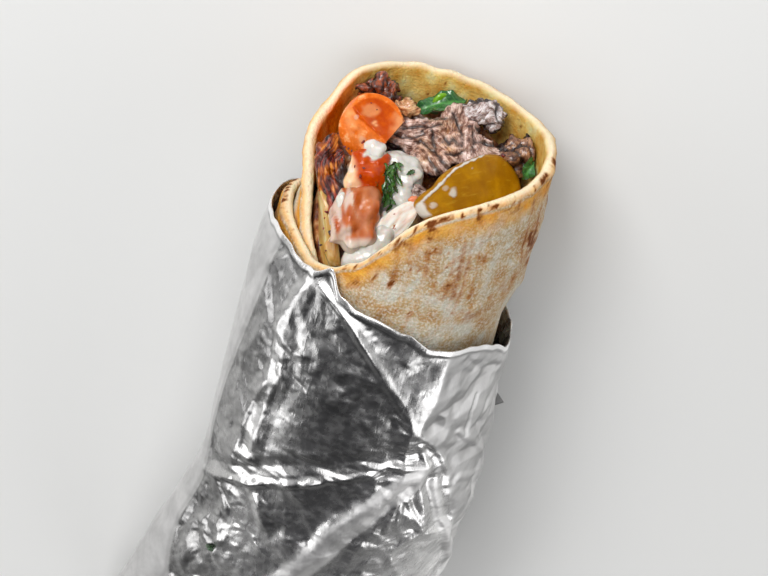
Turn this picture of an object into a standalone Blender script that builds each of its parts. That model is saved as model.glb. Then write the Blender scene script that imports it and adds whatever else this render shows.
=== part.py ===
"""A rolled beef wrap in a foil sleeve, lying on its back with its mouth toward +X.

+Z is the side that is shown. The numbers below are millimetres and degrees; every mesh is
turned into metres as it is made. Angles go round the roll: 0 is the -Y side, 90 the underside,
180 the +Y side and -90 the top. "Inset" is how far a face lies inside the foil's outer face.
"""

import math

import bmesh
import bpy
from mathutils import Matrix, Vector, noise

MM = 0.001

# Where the middle of the whole box lies, taken off every point so that the box is centred
BOX_MIDDLE = Vector((-96.3172, 10.4755, 0.0))

# Foil and bread
FOIL_WALL = 0.8
AIR = 0.4
BREAD_THICK = 2.8
LAYER_STEP = BREAD_THICK + AIR
BREAD_INSET = FOIL_WALL + AIR
BREAD_OUTER_END = -213.0
BREAD_INNER_END = 313.0
BREAD_BOTTOM = -178.0
FOIL_BOTTOM = -206.0
SINK = 1.0
CLEARANCE = 0.35

# Along the roll: x, reach toward +Y, reach toward -Y, half height
SECTIONS = (
    (16, 35.8, 33.2, 33.4),
    (0, 36.6, 34.6, 33.4),
    (-14, 33.4, 35.0, 33.4),
    (-22, 34.4, 34.6, 33.6),
    (-35, 36.0, 32.6, 34.0),
    (-62, 36.4, 34.2, 33.6),
    (-86, 36.6, 36.3, 32.6),
    (-97, 36.6, 37.0, 31.8),
    (-108, 37.2, 36.0, 31.0),
    (-128, 41.5, 36.3, 28.5),
    (-150, 47.0, 30.0, 24.0),
    (-175, 53.0, 21.0, 18.0),
    (-195, 57.0, 13.0, 9.0),
    (-206, 58.0, 9.0, 4.0),
)

# Rim of the foil round the roll: angle, x
FOIL_RIM = (
    (-200, -20.0),
    (-171, -17.4),
    (-150, -18.2),
    (-124, -20.8),
    (-117, -17.9),
    (-107, -23.4),
    (-90, -25.5),
    (-76, -28.1),
    (-60, -32.7),
    (-39, -32.2),
    (-24, -33.0),
    (0, -29.0),
    (45, -30.0),
    (90, -31.0),
    (135, -26.0),
    (160, -20.0),
    (189, -17.4),
)

# Rim of the flatbread, from its outer end round to its inner end: angle, x
BREAD_RIM = (
    (-213, -23.0),
    (-180, -19.0),
    (-150, -19.0),
    (-130, -21.0),
    (-116, -19.1),
    (-98, -8.0),
    (-77, 3.9),
    (-50, 9.0),
    (-15, 11.5),
    (10, 13.4),
    (28, 12.0),
    (45, 11.2),
    (72, 12.0),
    (95, 12.4),
    (109, 11.9),
    (128, 10.9),
    (139, 9.6),
    (156, 1.5),
    (173, -3.0),
    (186, -9.0),
    (209, -18.0),
    (260, -32.0),
    (313, -42.0),
)

# Ridges of the foil along the roll: x, angle. The pinch runs round it: angle, x
LEFT_RIDGE = ((-18, -137), (-42, -133), (-68, -137), (-95, -136), (-118, -147), (-160, -134), (-195, -128))
RIGHT_RIDGE = ((-33, -59), (-58, -60), (-72, -52), (-90, -40), (-112, -22))
PINCH = ((-151, -103), (-134, -97), (-110, -87), (-87, -79), (-69, -71), (-51, -71))
RIDGE_HEIGHT = 1.3
RIDGE_SPREAD = 26.0
PINCH_DEPTH = 1.3
PINCH_SPREAD = 8.0

# The filling: how far its top lies down the roll, and how far it comes up toward the underside
FILLING_TOP = -13.0
FILLING_SLOPE = 0.6
FILLING_BOTTOM = -168.0

# The pieces in the mouth are laid out as they are seen: right and up across the view, and toward it
MOUTH = Vector((0.0, 0.0, 33.0))
TOWARD = Vector((0.566, 0.0, 0.824)).normalized()
RIGHT = Vector((0.227, -0.961, -0.156)).normalized()
UP = TOWARD.cross(RIGHT)


def smooth_lookup(table, key):
    """Values of the table at the key, on a smooth curve through its rows."""
    rows = sorted(table)
    key = min(max(key, rows[0][0]), rows[-1][0])
    i = 0
    while i < len(rows) - 2 and key > rows[i + 1][0]:
        i += 1
    before, after = rows[i], rows[i + 1]
    span = after[0] - before[0]
    t = (key - before[0]) / span
    found = []
    for k in range(1, len(before)):
        rise = (after[k] - before[k]) / span
        slopes = []
        for near, far in ((i - 1, i), (i + 1, i + 2)):
            if near < 0 or far >= len(rows):
                slopes.append(rise)
                continue
            other = (rows[far][k] - rows[near][k]) / (rows[far][0] - rows[near][0])
            slopes.append(0.0 if rise * other <= 0 else 2 * rise * other / (rise + other))
        a = 3 * rise - 2 * slopes[0] - slopes[1]
        b = slopes[0] + slopes[1] - 2 * rise
        found.append(before[k] + span * (slopes[0] * t + a * t * t + b * t * t * t))
    return found


def roll_point(x, angle, inset):
    """Point of the roll, flat where it would sink into the table."""
    left, right, half_height = smooth_lookup(SECTIONS, x)
    middle = (left - right) / 2
    half_width = (left + right) / 2
    turn = math.radians(angle)
    y = middle - (half_width - inset) * math.cos(turn)
    z = half_height - SINK - max(half_height - inset, 0.5) * math.sin(turn)
    return Vector((x, y, max(z, inset)))


def bread_inset(angle):
    """Inset of the bread's outer face as it spirals inward."""
    return BREAD_INSET + LAYER_STEP * (angle - BREAD_OUTER_END) / 360.0


def room_inset(angle, x):
    """Inset of the inside of the roll: the innermost face of bread at each angle."""
    step_start = BREAD_INNER_END - 360.0
    while angle < step_start:
        angle += 360.0
    while angle >= step_start + 360.0:
        angle -= 360.0
    inset = bread_inset(angle) + LAYER_STEP
    into_step = (angle - step_start) / 14.0
    if into_step < 1.0:
        inset += LAYER_STEP * (1.0 - into_step)
    if angle > 225.0:
        past_rim = (x - smooth_lookup(BREAD_RIM, angle)[0] - 1.0) / 5.0
        inset -= LAYER_STEP * min(max(past_rim, 0.0), 1.0)
    return inset


def foil_relief(angle, x):
    """How far the foil's outer face stands out where it is creased."""
    ridge = 0.0
    for line in (LEFT_RIDGE, RIGHT_RIDGE):
        if line[-1][0] - 10.0 < x < line[0][0] + 10.0:
            away = abs(angle - smooth_lookup(line, x)[0]) / RIDGE_SPREAD
            ridge = max(ridge, 1.0 - away)
    pinch = 0.0
    if PINCH[0][0] < angle < PINCH[-1][0]:
        away = abs(x - smooth_lookup(PINCH, angle)[0]) / PINCH_SPREAD
        pinch = max(0.0, 1.0 - away)
    return RIDGE_HEIGHT * ridge - PINCH_DEPTH * pinch + 0.3


def new_object(name, bm, collection):
    """Object from a mesh measured in millimetres along the roll."""
    for vertex in bm.verts:
        vertex.co = (vertex.co - BOX_MIDDLE) * MM
    bmesh.ops.recalc_face_normals(bm, faces=bm.faces)
    mesh = bpy.data.meshes.new(name)
    bm.to_mesh(mesh)
    bm.free()
    obj = bpy.data.objects.new(name, mesh)
    collection.objects.link(obj)
    return obj


def loft(rings, folded_ends=False):
    """Closed skin through rings of equal length. Its ends are capped by one flat face, or by a
    strip between the two halves of the ring where the ring is a folded sheet."""
    bm = bmesh.new()
    rows = [[bm.verts.new(point) for point in ring] for ring in rings]
    for first, second in zip(rows, rows[1:]):
        for i in range(len(first)):
            j = (i + 1) % len(first)
            bm.faces.new((first[i], first[j], second[j], second[i]))
    for end in (rows[0], rows[-1]):
        if folded_ends:
            for i in range(len(end) // 2 - 1):
                bm.faces.new((end[i], end[i + 1], end[-i - 2], end[-i - 1]))
        else:
            bm.faces.new(end)
    bmesh.ops.recalc_face_normals(bm, faces=bm.faces)
    bmesh.ops.triangulate(bm, faces=bm.faces)
    return bm


def apply_modifiers(obj):
    """Replaces the mesh by the one its modifiers make."""
    bpy.context.view_layer.update()
    graph = bpy.context.evaluated_depsgraph_get()
    made = bpy.data.meshes.new_from_object(obj.evaluated_get(graph))
    obj.modifiers.clear()
    obj.data = made
    return obj


def keep_largest_body(obj):
    """Removes the crumbs that a cut leaves beside the main body."""
    bm = bmesh.new()
    bm.from_mesh(obj.data)
    unseen = set(bm.verts)
    bodies = []
    while unseen:
        stack = [unseen.pop()]
        body = []
        while stack:
            vertex = stack.pop()
            body.append(vertex)
            for edge in vertex.link_edges:
                other = edge.other_vert(vertex)
                if other in unseen:
                    unseen.remove(other)
                    stack.append(other)
        bodies.append(body)
    bodies.sort(key=len)
    for body in bodies[:-1]:
        bmesh.ops.delete(bm, geom=body, context="VERTS")
    bm.to_mesh(obj.data)
    bm.free()
    return obj


def volume_of(mesh):
    """Volume that a mesh closes off."""
    bm = bmesh.new()
    bm.from_mesh(mesh)
    volume = bm.calc_volume(signed=True)
    bm.free()
    return volume


def boolean(obj, other, operation):
    """Cuts the object by the other, or joins them. The second solver is for a result that has
    lost almost everything."""
    before = obj.data
    least = 0.2 * volume_of(before)
    for solver in ("EXACT", "MANIFOLD"):
        modifier = obj.modifiers.new(operation.title(), "BOOLEAN")
        modifier.operation = operation
        modifier.solver = solver
        modifier.object = other
        apply_modifiers(obj)
        if volume_of(obj.data) > least:
            return obj
        obj.data = before
    return obj


def swollen(obj, cutters):
    """Copy of the object a little larger all round, to cut its neighbours with."""
    copy = bpy.data.objects.new(obj.name + "_cutter", obj.data.copy())
    cutters.objects.link(copy)
    copy.display_type = "WIRE"
    copy.hide_render = True
    modifier = copy.modifiers.new("Swell", "DISPLACE")
    modifier.strength = CLEARANCE * MM
    modifier.mid_level = 0.0
    return apply_modifiers(copy)


def boxes_meet(first, second):
    """Whether the boxes of two objects overlap."""
    for axis in range(3):
        near = [vertex.co[axis] for vertex in first.data.vertices]
        far = [vertex.co[axis] for vertex in second.data.vertices]
        if max(near) < min(far) or max(far) < min(near):
            return False
    return True


def laid(right, up, toward, turn=0.0, lean=0.0, swing=0.0):
    """Matrix that lays a piece in the mouth. Turn is in the view, lean tips its top away and
    swing takes its right-hand side away."""
    spot = MOUTH + right * RIGHT + up * UP + toward * TOWARD
    axes = Matrix((RIGHT, UP, TOWARD)).transposed().to_4x4()
    tip = Matrix.Rotation(math.radians(-lean), 4, "X")
    swivel = Matrix.Rotation(math.radians(swing), 4, "Y")
    spin = Matrix.Rotation(math.radians(turn), 4, "Z")
    return Matrix.Translation(spot) @ axes @ tip @ swivel @ spin


def lump(size, place, roughness, grain, seed, detail=3):
    """Uneven lump of the given width, height and depth."""
    bm = bmesh.new()
    bmesh.ops.create_icosphere(bm, subdivisions=detail, radius=0.5)
    shift = Vector((seed * 7.3, seed * 3.1, seed * 1.7))
    for vertex in bm.verts:
        outward = vertex.co.normalized()
        point = Vector([vertex.co[k] * size[k] for k in range(3)])
        point += outward * roughness * noise.noise(point / grain + shift)
        vertex.co = place @ point
    return bm


def block(size, place, roughness, grain, seed):
    """Diced piece: a box with rounded edges and uneven faces."""
    bm = bmesh.new()
    bmesh.ops.create_cube(bm, size=1.0)
    bmesh.ops.subdivide_edges(bm, edges=bm.edges, cuts=3, use_grid_fill=True)
    shift = Vector((seed * 5.3, seed * 2.9, seed * 3.7))
    for vertex in bm.verts:
        round_part = vertex.co.normalized() * 0.62
        squarish = vertex.co.lerp(round_part, 0.45)
        point = Vector([squarish[k] * size[k] for k in range(3)])
        point += vertex.co.normalized() * roughness * noise.noise(point / grain + shift)
        vertex.co = place @ point
    bmesh.ops.triangulate(bm, faces=bm.faces)
    return bm


def cut_flat(bm, point, normal):
    """Cuts away what lies on the normal's side of a plane and closes the cut."""
    everything = bm.verts[:] + bm.edges[:] + bm.faces[:]
    bmesh.ops.bisect_plane(bm, geom=everything, plane_co=point, plane_no=normal, clear_outer=True)
    rim = [edge for edge in bm.edges if edge.is_boundary]
    bmesh.ops.holes_fill(bm, edges=rim)
    bmesh.ops.triangulate(bm, faces=bm.faces)


def sheet(name, length, width, thickness, place, shape, collection, columns=10, rows=4):
    """Thin piece along the view's right, bent by shape(along, across) and given its thickness."""
    bm = bmesh.new()
    bmesh.ops.create_grid(bm, x_segments=columns, y_segments=rows, size=0.5)
    bmesh.ops.triangulate(bm, faces=bm.faces)
    for vertex in bm.verts:
        vertex.co = place @ shape(2 * vertex.co.x, 2 * vertex.co.y, length / 2, width / 2)
    obj = new_object(name, bm, collection)
    modifier = obj.modifiers.new("Thickness", "SOLIDIFY")
    modifier.thickness = thickness * MM
    modifier.offset = 0.0
    modifier.use_even_offset = True
    return apply_modifiers(obj)


def wavy_leaf(along, across, reach, half_width):
    """Leaf: pointed outline, a waved rim and a fold along its middle."""
    outline = math.sqrt(max(1.0 - along * along, 0.06))
    rise = 0.9 * math.sin(5.0 * along) * across + 1.2 * abs(across) - 1.5 * along * along
    return Vector((along * reach, across * half_width * outline, rise))


def curved_strip(along, across, reach, half_width):
    """Strip of onion: cupped across and arched along."""
    taper = 1.0 - 0.35 * along * along
    rise = -1.4 * across * across - 2.2 * along * along
    return Vector((along * reach, across * half_width * taper, rise))


def limp_leaf(along, across, reach, half_width):
    """Pale leaf that follows the inside of the roll."""
    taper = 0.75 + 0.25 * math.cos(2.0 * along)
    rise = -2.5 * along * along + 0.5 * math.sin(4.0 * along + 1.0) * across
    return Vector((along * reach, across * half_width * taper, rise))


def make_foil(collection):
    """Foil sleeve: outer face from the closed end up to the rim, then the inner face back."""
    around = 44
    along = 17
    outer = []
    inner = []
    for row in range(along + 1):
        share = row / along
        outer_ring = []
        inner_ring = []
        for column in range(around):
            angle = -180.0 + 360.0 * column / around
            rim = smooth_lookup(FOIL_RIM, angle)[0]
            x = FOIL_BOTTOM + (rim - FOIL_BOTTOM) * share
            fade = min(1.0, 6.0 * (1.0 - share), 8.0 * share)
            point = roll_point(x, angle, -fade * max(foil_relief(angle, x), 0.0))
            point.z = max(point.z, 0.0)
            outer_ring.append(point)
            inner_x = FOIL_BOTTOM + 1.2 + (rim - FOIL_BOTTOM - 1.2) * share
            inner_ring.append(roll_point(inner_x, angle, FOIL_WALL))
        outer.append(outer_ring)
        inner.append(inner_ring)
    return new_object("foil", loft(outer + inner[::-1]), collection)


def bread_angles():
    """Angles of the flatbread's corners from its outer end to its inner end."""
    columns = 62
    turn = BREAD_INNER_END - BREAD_OUTER_END
    return [BREAD_OUTER_END + turn * i / columns for i in range(columns + 1)]


def make_flatbread(collection):
    """Flatbread rolled almost one and a half times round the filling."""
    rows = 13
    rings = []
    for row in range(rows + 1):
        share = (row / rows) ** 1.3
        outside = []
        inside = []
        for angle in bread_angles():
            rim = smooth_lookup(BREAD_RIM, angle)[0]
            x = rim + (BREAD_BOTTOM - rim) * share
            outside.append(roll_point(x, angle, bread_inset(angle)))
            inside.append(roll_point(x, angle, bread_inset(angle) + BREAD_THICK))
        rings.append(outside + inside[::-1])
    return new_object("flatbread", loft(rings, folded_ends=True), collection)


def filling_top(point):
    """How far up the roll the filling comes: less toward the side that is shown."""
    uneven = 2.5 * noise.noise(Vector((point.y, point.z, 0.0)) / 9.0)
    return FILLING_TOP - FILLING_SLOPE * (point.z - MOUTH.z) + uneven


def room_rings(extra_inset, around, rows, bottom, top, past_rim):
    """Rings that follow the inside of the roll from the bottom to top(point). With past_rim
    they widen where the bread's inner end has run out."""
    rings = []
    for row in range(rows + 1):
        ring = []
        for column in range(around):
            angle = BREAD_INNER_END - 360.0 + 360.0 * column / around
            at_mouth = roll_point(0.0, angle, room_inset(angle, 0.0))
            x = bottom + (top(at_mouth) - bottom) * row / rows
            inset = room_inset(angle, x if past_rim else bottom) + extra_inset
            ring.append(roll_point(x, angle, inset))
        rings.append(ring)
    return rings


def make_filling(collection):
    """Packed filling that carries the pieces in the mouth. Its top is domed and uneven."""
    rings = room_rings(1.0, 40, 10, FILLING_BOTTOM, filling_top, False)
    rim = rings[-1]
    middle = sum(rim, Vector()) / len(rim)
    for share in (0.8, 0.6, 0.4, 0.2):
        ring = []
        for point in rim:
            inward = middle.lerp(point, share)
            inward.x = filling_top(inward) + 2.0 * (1.0 - share)
            ring.append(inward)
        rings.append(ring)
    return new_object("filling", loft(rings), collection)


def make_room(cutters):
    """Everything inside the roll, to trim the pieces that would reach into the bread."""
    rings = room_rings(CLEARANCE, 50, 12, -70.0, lambda point: 30.0, True)
    room = new_object("room", loft(rings), cutters)
    room.display_type = "WIRE"
    room.hide_render = True
    return room


def joined(name, meshes, collection, cutters):
    """One piece from several meshes, joined into a single body."""
    base = new_object(name, meshes[0], collection)
    for number, bm in enumerate(meshes[1:]):
        other = new_object(name + "_add_" + str(number), bm, cutters)
        boolean(base, other, "UNION")
        bpy.data.objects.remove(other)
    return base


def make_tomato_wedge(collection):
    """Wedge of tomato: two cut faces that meet along an edge, and the skin behind."""
    place = laid(-13.2, 9.4, -4.5, turn=20)
    bm = lump((17.0, 17.0, 17.0), place, 0.8, 9.0, 3)
    axes = place.to_3x3()
    cut_flat(bm, place @ Vector((0.0, 0.0, 5.2)), axes @ Vector((0.36, 0.16, 0.92)))
    cut_flat(bm, place @ Vector((0.0, 0.0, 5.2)), axes @ Vector((-0.5, -0.2, 0.84)))
    return new_object("tomato_wedge", bm, collection)


def make_pickle(collection):
    """Lengthwise slice of pickle, half behind the front of the bread."""
    place = laid(11.7, -6.6, 2.6, turn=19, lean=12, swing=24)
    bm = bmesh.new()
    bmesh.ops.create_cone(
        bm, cap_ends=True, segments=32, radius1=1.0, radius2=0.96, depth=1.0
    )
    for vertex in bm.verts:
        point = Vector((vertex.co.x * 14.2, vertex.co.y * 9.4, vertex.co.z * 3.6))
        point.z -= 0.012 * point.x * point.x
        vertex.co = place @ point
    bmesh.ops.triangulate(bm, faces=bm.faces)
    return new_object("pickle_slice", bm, collection)


def make_beef(collection, cutters):
    """The large slice, the chunks beside it and the shreds at the left."""
    slice_place = laid(4.2, 7.0, -6.8, turn=-6, lean=22)
    beef_slice = lump((33.0, 17.0, 7.5), slice_place, 3.0, 5.5, 11)
    pieces = [new_object("beef_slice", beef_slice, collection)]
    end = lump((11.0, 7.0, 7.5), laid(15.4, 13.2, -9.4, turn=-12), 2.4, 3.5, 5, detail=2)
    pieces.append(new_object("beef_end", end, collection))
    right = lump((12.5, 8.0, 8.0), laid(24.0, 2.8, -8.0, turn=10), 2.4, 3.5, 6, detail=2)
    pieces.append(new_object("beef_right", right, collection))
    crisp = lump((11.5, 7.0, 7.0), laid(-11.6, 19.0, -12.0, turn=-8), 3.4, 2.6, 7, detail=2)
    pieces.append(new_object("beef_crisp", crisp, collection))
    pale = lump((6.0, 5.0, 6.0), laid(-4.7, 14.8, -9.4), 1.6, 2.8, 8, detail=2)
    pieces.append(new_object("beef_pale", pale, collection))
    strips = []
    layout = (
        (-24.5, 4.5, -1.0, 62, 12.0),
        (-23.0, -1.0, 1.0, 118, 13.0),
        (-20.5, -3.5, 2.0, 95, 15.0),
        (-26.0, -1.5, 0.5, 80, 14.0),
        (-22.5, -8.0, 2.5, 105, 12.0),
    )
    for number, (right, up, toward, turn, length) in enumerate(layout):
        place = laid(right, up, toward, turn=turn)
        strips.append(lump((length, 4.4, 4.6), place, 1.8, 2.6, 20 + number, detail=2))
    pieces.append(joined("beef_shreds", strips, collection, cutters))
    return pieces


def make_tomato_dice(collection):
    """Two diced pieces of tomato below the wedge."""
    chunk = block((9.6, 12.0, 8.0), laid(-14.8, -3.0, 2.6, turn=-12, swing=-10), 1.6, 5.0, 2)
    piece = block((11.0, 15.0, 8.0), laid(-17.2, -13.8, 6.6, turn=-14, lean=-8), 1.6, 5.0, 4)
    return [
        new_object("tomato_chunk", chunk, collection),
        new_object("tomato_piece", piece, collection),
    ]


def make_leaves(collection):
    """Onion strip, the pale leaf inside the front of the bread and the two green leaves."""
    onion = laid(-25.4, -15.4, 3.4, turn=97, swing=-30)
    pale = laid(-10.6, -17.6, 5.6, turn=42, lean=-16)
    top = laid(4.6, 16.4, -15.0, turn=12, lean=30)
    side = laid(26.6, -0.2, -4.4, turn=60, swing=20)
    return [
        sheet("onion_strip", 20.0, 6.0, 2.0, onion, curved_strip, collection),
        sheet("pale_leaf", 23.0, 7.0, 1.1, pale, limp_leaf, collection),
        sheet("green_leaf_top", 13.0, 6.0, 1.0, top, wavy_leaf, collection),
        sheet("green_leaf_side", 7.0, 4.0, 1.0, side, wavy_leaf, collection),
    ]


def make_sauce(collection, cutters):
    """Pool of white sauce with a sprig of parsley lying in it."""
    pool = lump((15.0, 25.0, 9.0), laid(-7.6, -9.0, -0.6, turn=-8), 1.8, 7.0, 31)
    foot = lump((15.0, 9.0, 7.0), laid(-13.5, -20.5, 5.0, turn=30), 1.2, 5.0, 32, detail=2)
    sprig = lump((3.4, 11.5, 3.0), laid(-8.4, -4.2, 3.4, turn=-14), 1.0, 2.0, 33, detail=2)
    return joined("sauce", [pool, foot, sprig], collection, cutters)


def fit_together(pieces, filling, room, cutters):
    """Trims each piece to the room inside the bread and to the pieces that go before it."""
    swelled = [swollen(piece, cutters) for piece in pieces]
    for number, piece in enumerate(pieces + [filling]):
        if piece is not filling:
            boolean(piece, room, "INTERSECT")
        for cutter in swelled[:number]:
            if boxes_meet(piece, cutter):
                boolean(piece, cutter, "DIFFERENCE")
        keep_largest_body(piece)


def paint(obj, colour, roughness=0.5, metallic=0.0):
    """Plain colour for one piece."""
    material = bpy.data.materials.new(obj.name)
    material.use_nodes = True
    shader = material.node_tree.nodes["Principled BSDF"]
    shader.inputs["Base Color"].default_value = (*colour, 1.0)
    shader.inputs["Roughness"].default_value = roughness
    shader.inputs["Metallic"].default_value = metallic
    obj.data.materials.clear()
    obj.data.materials.append(material)


COLOURS = {
    "flatbread": (0.80, 0.66, 0.42),
    "filling": (0.42, 0.26, 0.16),
    "sauce": (0.82, 0.78, 0.68),
    "beef_slice": (0.22, 0.12, 0.09),
    "beef_end": (0.20, 0.14, 0.13),
    "beef_right": (0.16, 0.08, 0.07),
    "beef_crisp": (0.10, 0.03, 0.02),
    "beef_pale": (0.50, 0.36, 0.26),
    "beef_shreds": (0.20, 0.05, 0.02),
    "tomato_wedge": (0.85, 0.20, 0.05),
    "tomato_chunk": (0.80, 0.28, 0.14),
    "tomato_piece": (0.80, 0.42, 0.32),
    "onion_strip": (0.72, 0.64, 0.36),
    "pale_leaf": (0.78, 0.60, 0.48),
    "pickle_slice": (0.42, 0.30, 0.02),
    "green_leaf_top": (0.05, 0.20, 0.07),
    "green_leaf_side": (0.10, 0.30, 0.10),
}


def main():
    for obj in list(bpy.data.objects):
        bpy.data.objects.remove(obj)
    wrap = bpy.data.collections.new("Beef wrap")
    cutters = bpy.data.collections.new("Cutters")
    bpy.context.scene.collection.children.link(wrap)
    bpy.context.scene.collection.children.link(cutters)
    foil = make_foil(wrap)
    bread = make_flatbread(wrap)
    filling = make_filling(wrap)
    room = make_room(cutters)
    pieces = [make_pickle(wrap)]
    beef = make_beef(wrap, cutters)
    pieces.append(beef[0])
    pieces.append(make_tomato_wedge(wrap))
    pieces.extend(make_tomato_dice(wrap))
    pieces.extend(make_leaves(wrap))
    pieces.extend(beef[1:])
    pieces.append(make_sauce(wrap, cutters))
    fit_together(pieces, filling, room, cutters)
    paint(foil, (0.60, 0.60, 0.61), 0.28, 1.0)
    for obj in [bread, filling] + pieces:
        paint(obj, COLOURS[obj.name])
        obj.data.shade_smooth()


main()
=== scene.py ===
"""Looks of a beef wrap: a sleeve of crumpled foil, toasted flatbread and the food in its mouth.

Numbers are millimetres and degrees in the roll's own frame, as in the solids, and to_row turns them
into the frame's metres. Angles go round the roll: 0 is the -Y side, 90 the underside, 180 the +Y
side and -90 the top. "Inset" is how far a face lies inside the foil's outer face. "Right" and "up"
are measured across the view in the plane of the mouth, and "toward" comes out of it to the viewer.
"""
import math

import bmesh
import bpy
import numpy as np
from mathutils import Matrix, Vector, noise


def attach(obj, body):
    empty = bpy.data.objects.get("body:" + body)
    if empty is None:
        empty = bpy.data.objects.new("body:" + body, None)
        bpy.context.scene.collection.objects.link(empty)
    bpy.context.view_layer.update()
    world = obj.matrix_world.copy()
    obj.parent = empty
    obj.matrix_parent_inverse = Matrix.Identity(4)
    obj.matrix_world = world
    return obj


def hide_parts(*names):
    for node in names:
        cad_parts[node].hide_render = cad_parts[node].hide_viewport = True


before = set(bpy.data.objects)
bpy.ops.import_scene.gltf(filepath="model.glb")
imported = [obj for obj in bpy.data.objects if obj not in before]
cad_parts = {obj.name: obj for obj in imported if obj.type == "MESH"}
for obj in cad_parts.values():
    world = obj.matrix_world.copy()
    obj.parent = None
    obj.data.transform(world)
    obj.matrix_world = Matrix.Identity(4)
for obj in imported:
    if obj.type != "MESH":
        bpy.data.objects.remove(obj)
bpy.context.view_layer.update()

MM = 0.001
FLOOR_GAP = 0.0002
BOX_MIDDLE = np.array((-96.3172, 10.4755, 0))
BODY = "root"

# Foil: thickness of its turned rim, inset of its inner face deep down, and x of its closed end
FOIL_THICK = 0.45
FOIL_INSIDE = 0.95
FOIL_BOTTOM = -206
ROUND_MM = 0.6  # millimetres of foil for each degree round the roll
PINCH_X = -86  # below it the foil spreads out again

# Bread, as in the solids
BREAD_INSET = 1.2
BREAD_THICK = 2.8
LAYER_STEP = 3.2
BREAD_OUTER_END = -213
BREAD_INNER_END = 313
BREAD_BOTTOM = -178
SINK = 1  # how far the roll is pressed flat on the table

# Along the roll: x, reach toward +Y, reach toward -Y, half height
SECTIONS = (
    (16, 35.8, 33.2, 33.4), (0, 36.6, 34.6, 33.4), (-14, 33.4, 35, 33.4), (-22, 34.4, 34.6, 33.6),
    (-35, 36, 32.6, 34), (-62, 36.4, 34.2, 33.6), (-86, 36.6, 36.3, 32.6), (-97, 36.6, 37, 31.8),
    (-108, 37.2, 36, 31), (-128, 41.5, 36.3, 28.5), (-150, 47, 30, 24),
    (-175, 53, 21, 18), (-195, 57, 13, 9), (-206, 58, 9, 4),
)

# Rim of the foil round the roll: angle, x
FOIL_RIM = (
    (-200, -23.2), (-185, -22.4), (-171, -20.6), (-150, -19.6), (-124, -20.8), (-117, -17.9),
    (-107, -23.4), (-90, -25.5), (-76, -28.1), (-60, -32.2), (-39, -32.8), (-24, -37), (-8, -42),
    (20, -43), (90, -37), (135, -29), (160, -23.2), (189, -20.6),
)

# Rim of the flatbread, from its outer end round to its inner end: angle, x
BREAD_RIM = (
    (-213, -23), (-180, -19), (-150, -19), (-130, -21), (-116, -19.1), (-98, -8), (-77, 3.9),
    (-50, 9), (-15, 11.5), (10, 13.4), (28, 12), (45, 11.2), (72, 12), (95, 12.4), (109, 11.9),
    (128, 10.9), (139, 9.6), (156, 1.5), (173, -3), (186, -9), (209, -18), (260, -32),
    (313, -42),
)

# The mouth and the view of it
MOUTH = np.array((0, 0, 33))
TOWARD = np.array(Vector((0.566, 0, 0.824)).normalized())
RIGHT = np.array(Vector((0.227, -0.961, -0.156)).normalized())
UP = np.cross(TOWARD, RIGHT)
FLAT = np.array((1, 1, 0))
CAMERA_DISTANCE = 520
MOUTH_RIGHT_OF_MIDDLE = 10.21
MOUTH_ABOVE_MIDDLE = 30.64
LENS = 97.875
SENSOR = 36
CAMERA = MOUTH - MOUTH_RIGHT_OF_MIDDLE * RIGHT - MOUTH_ABOVE_MIDDLE * UP + CAMERA_DISTANCE * TOWARD

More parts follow.
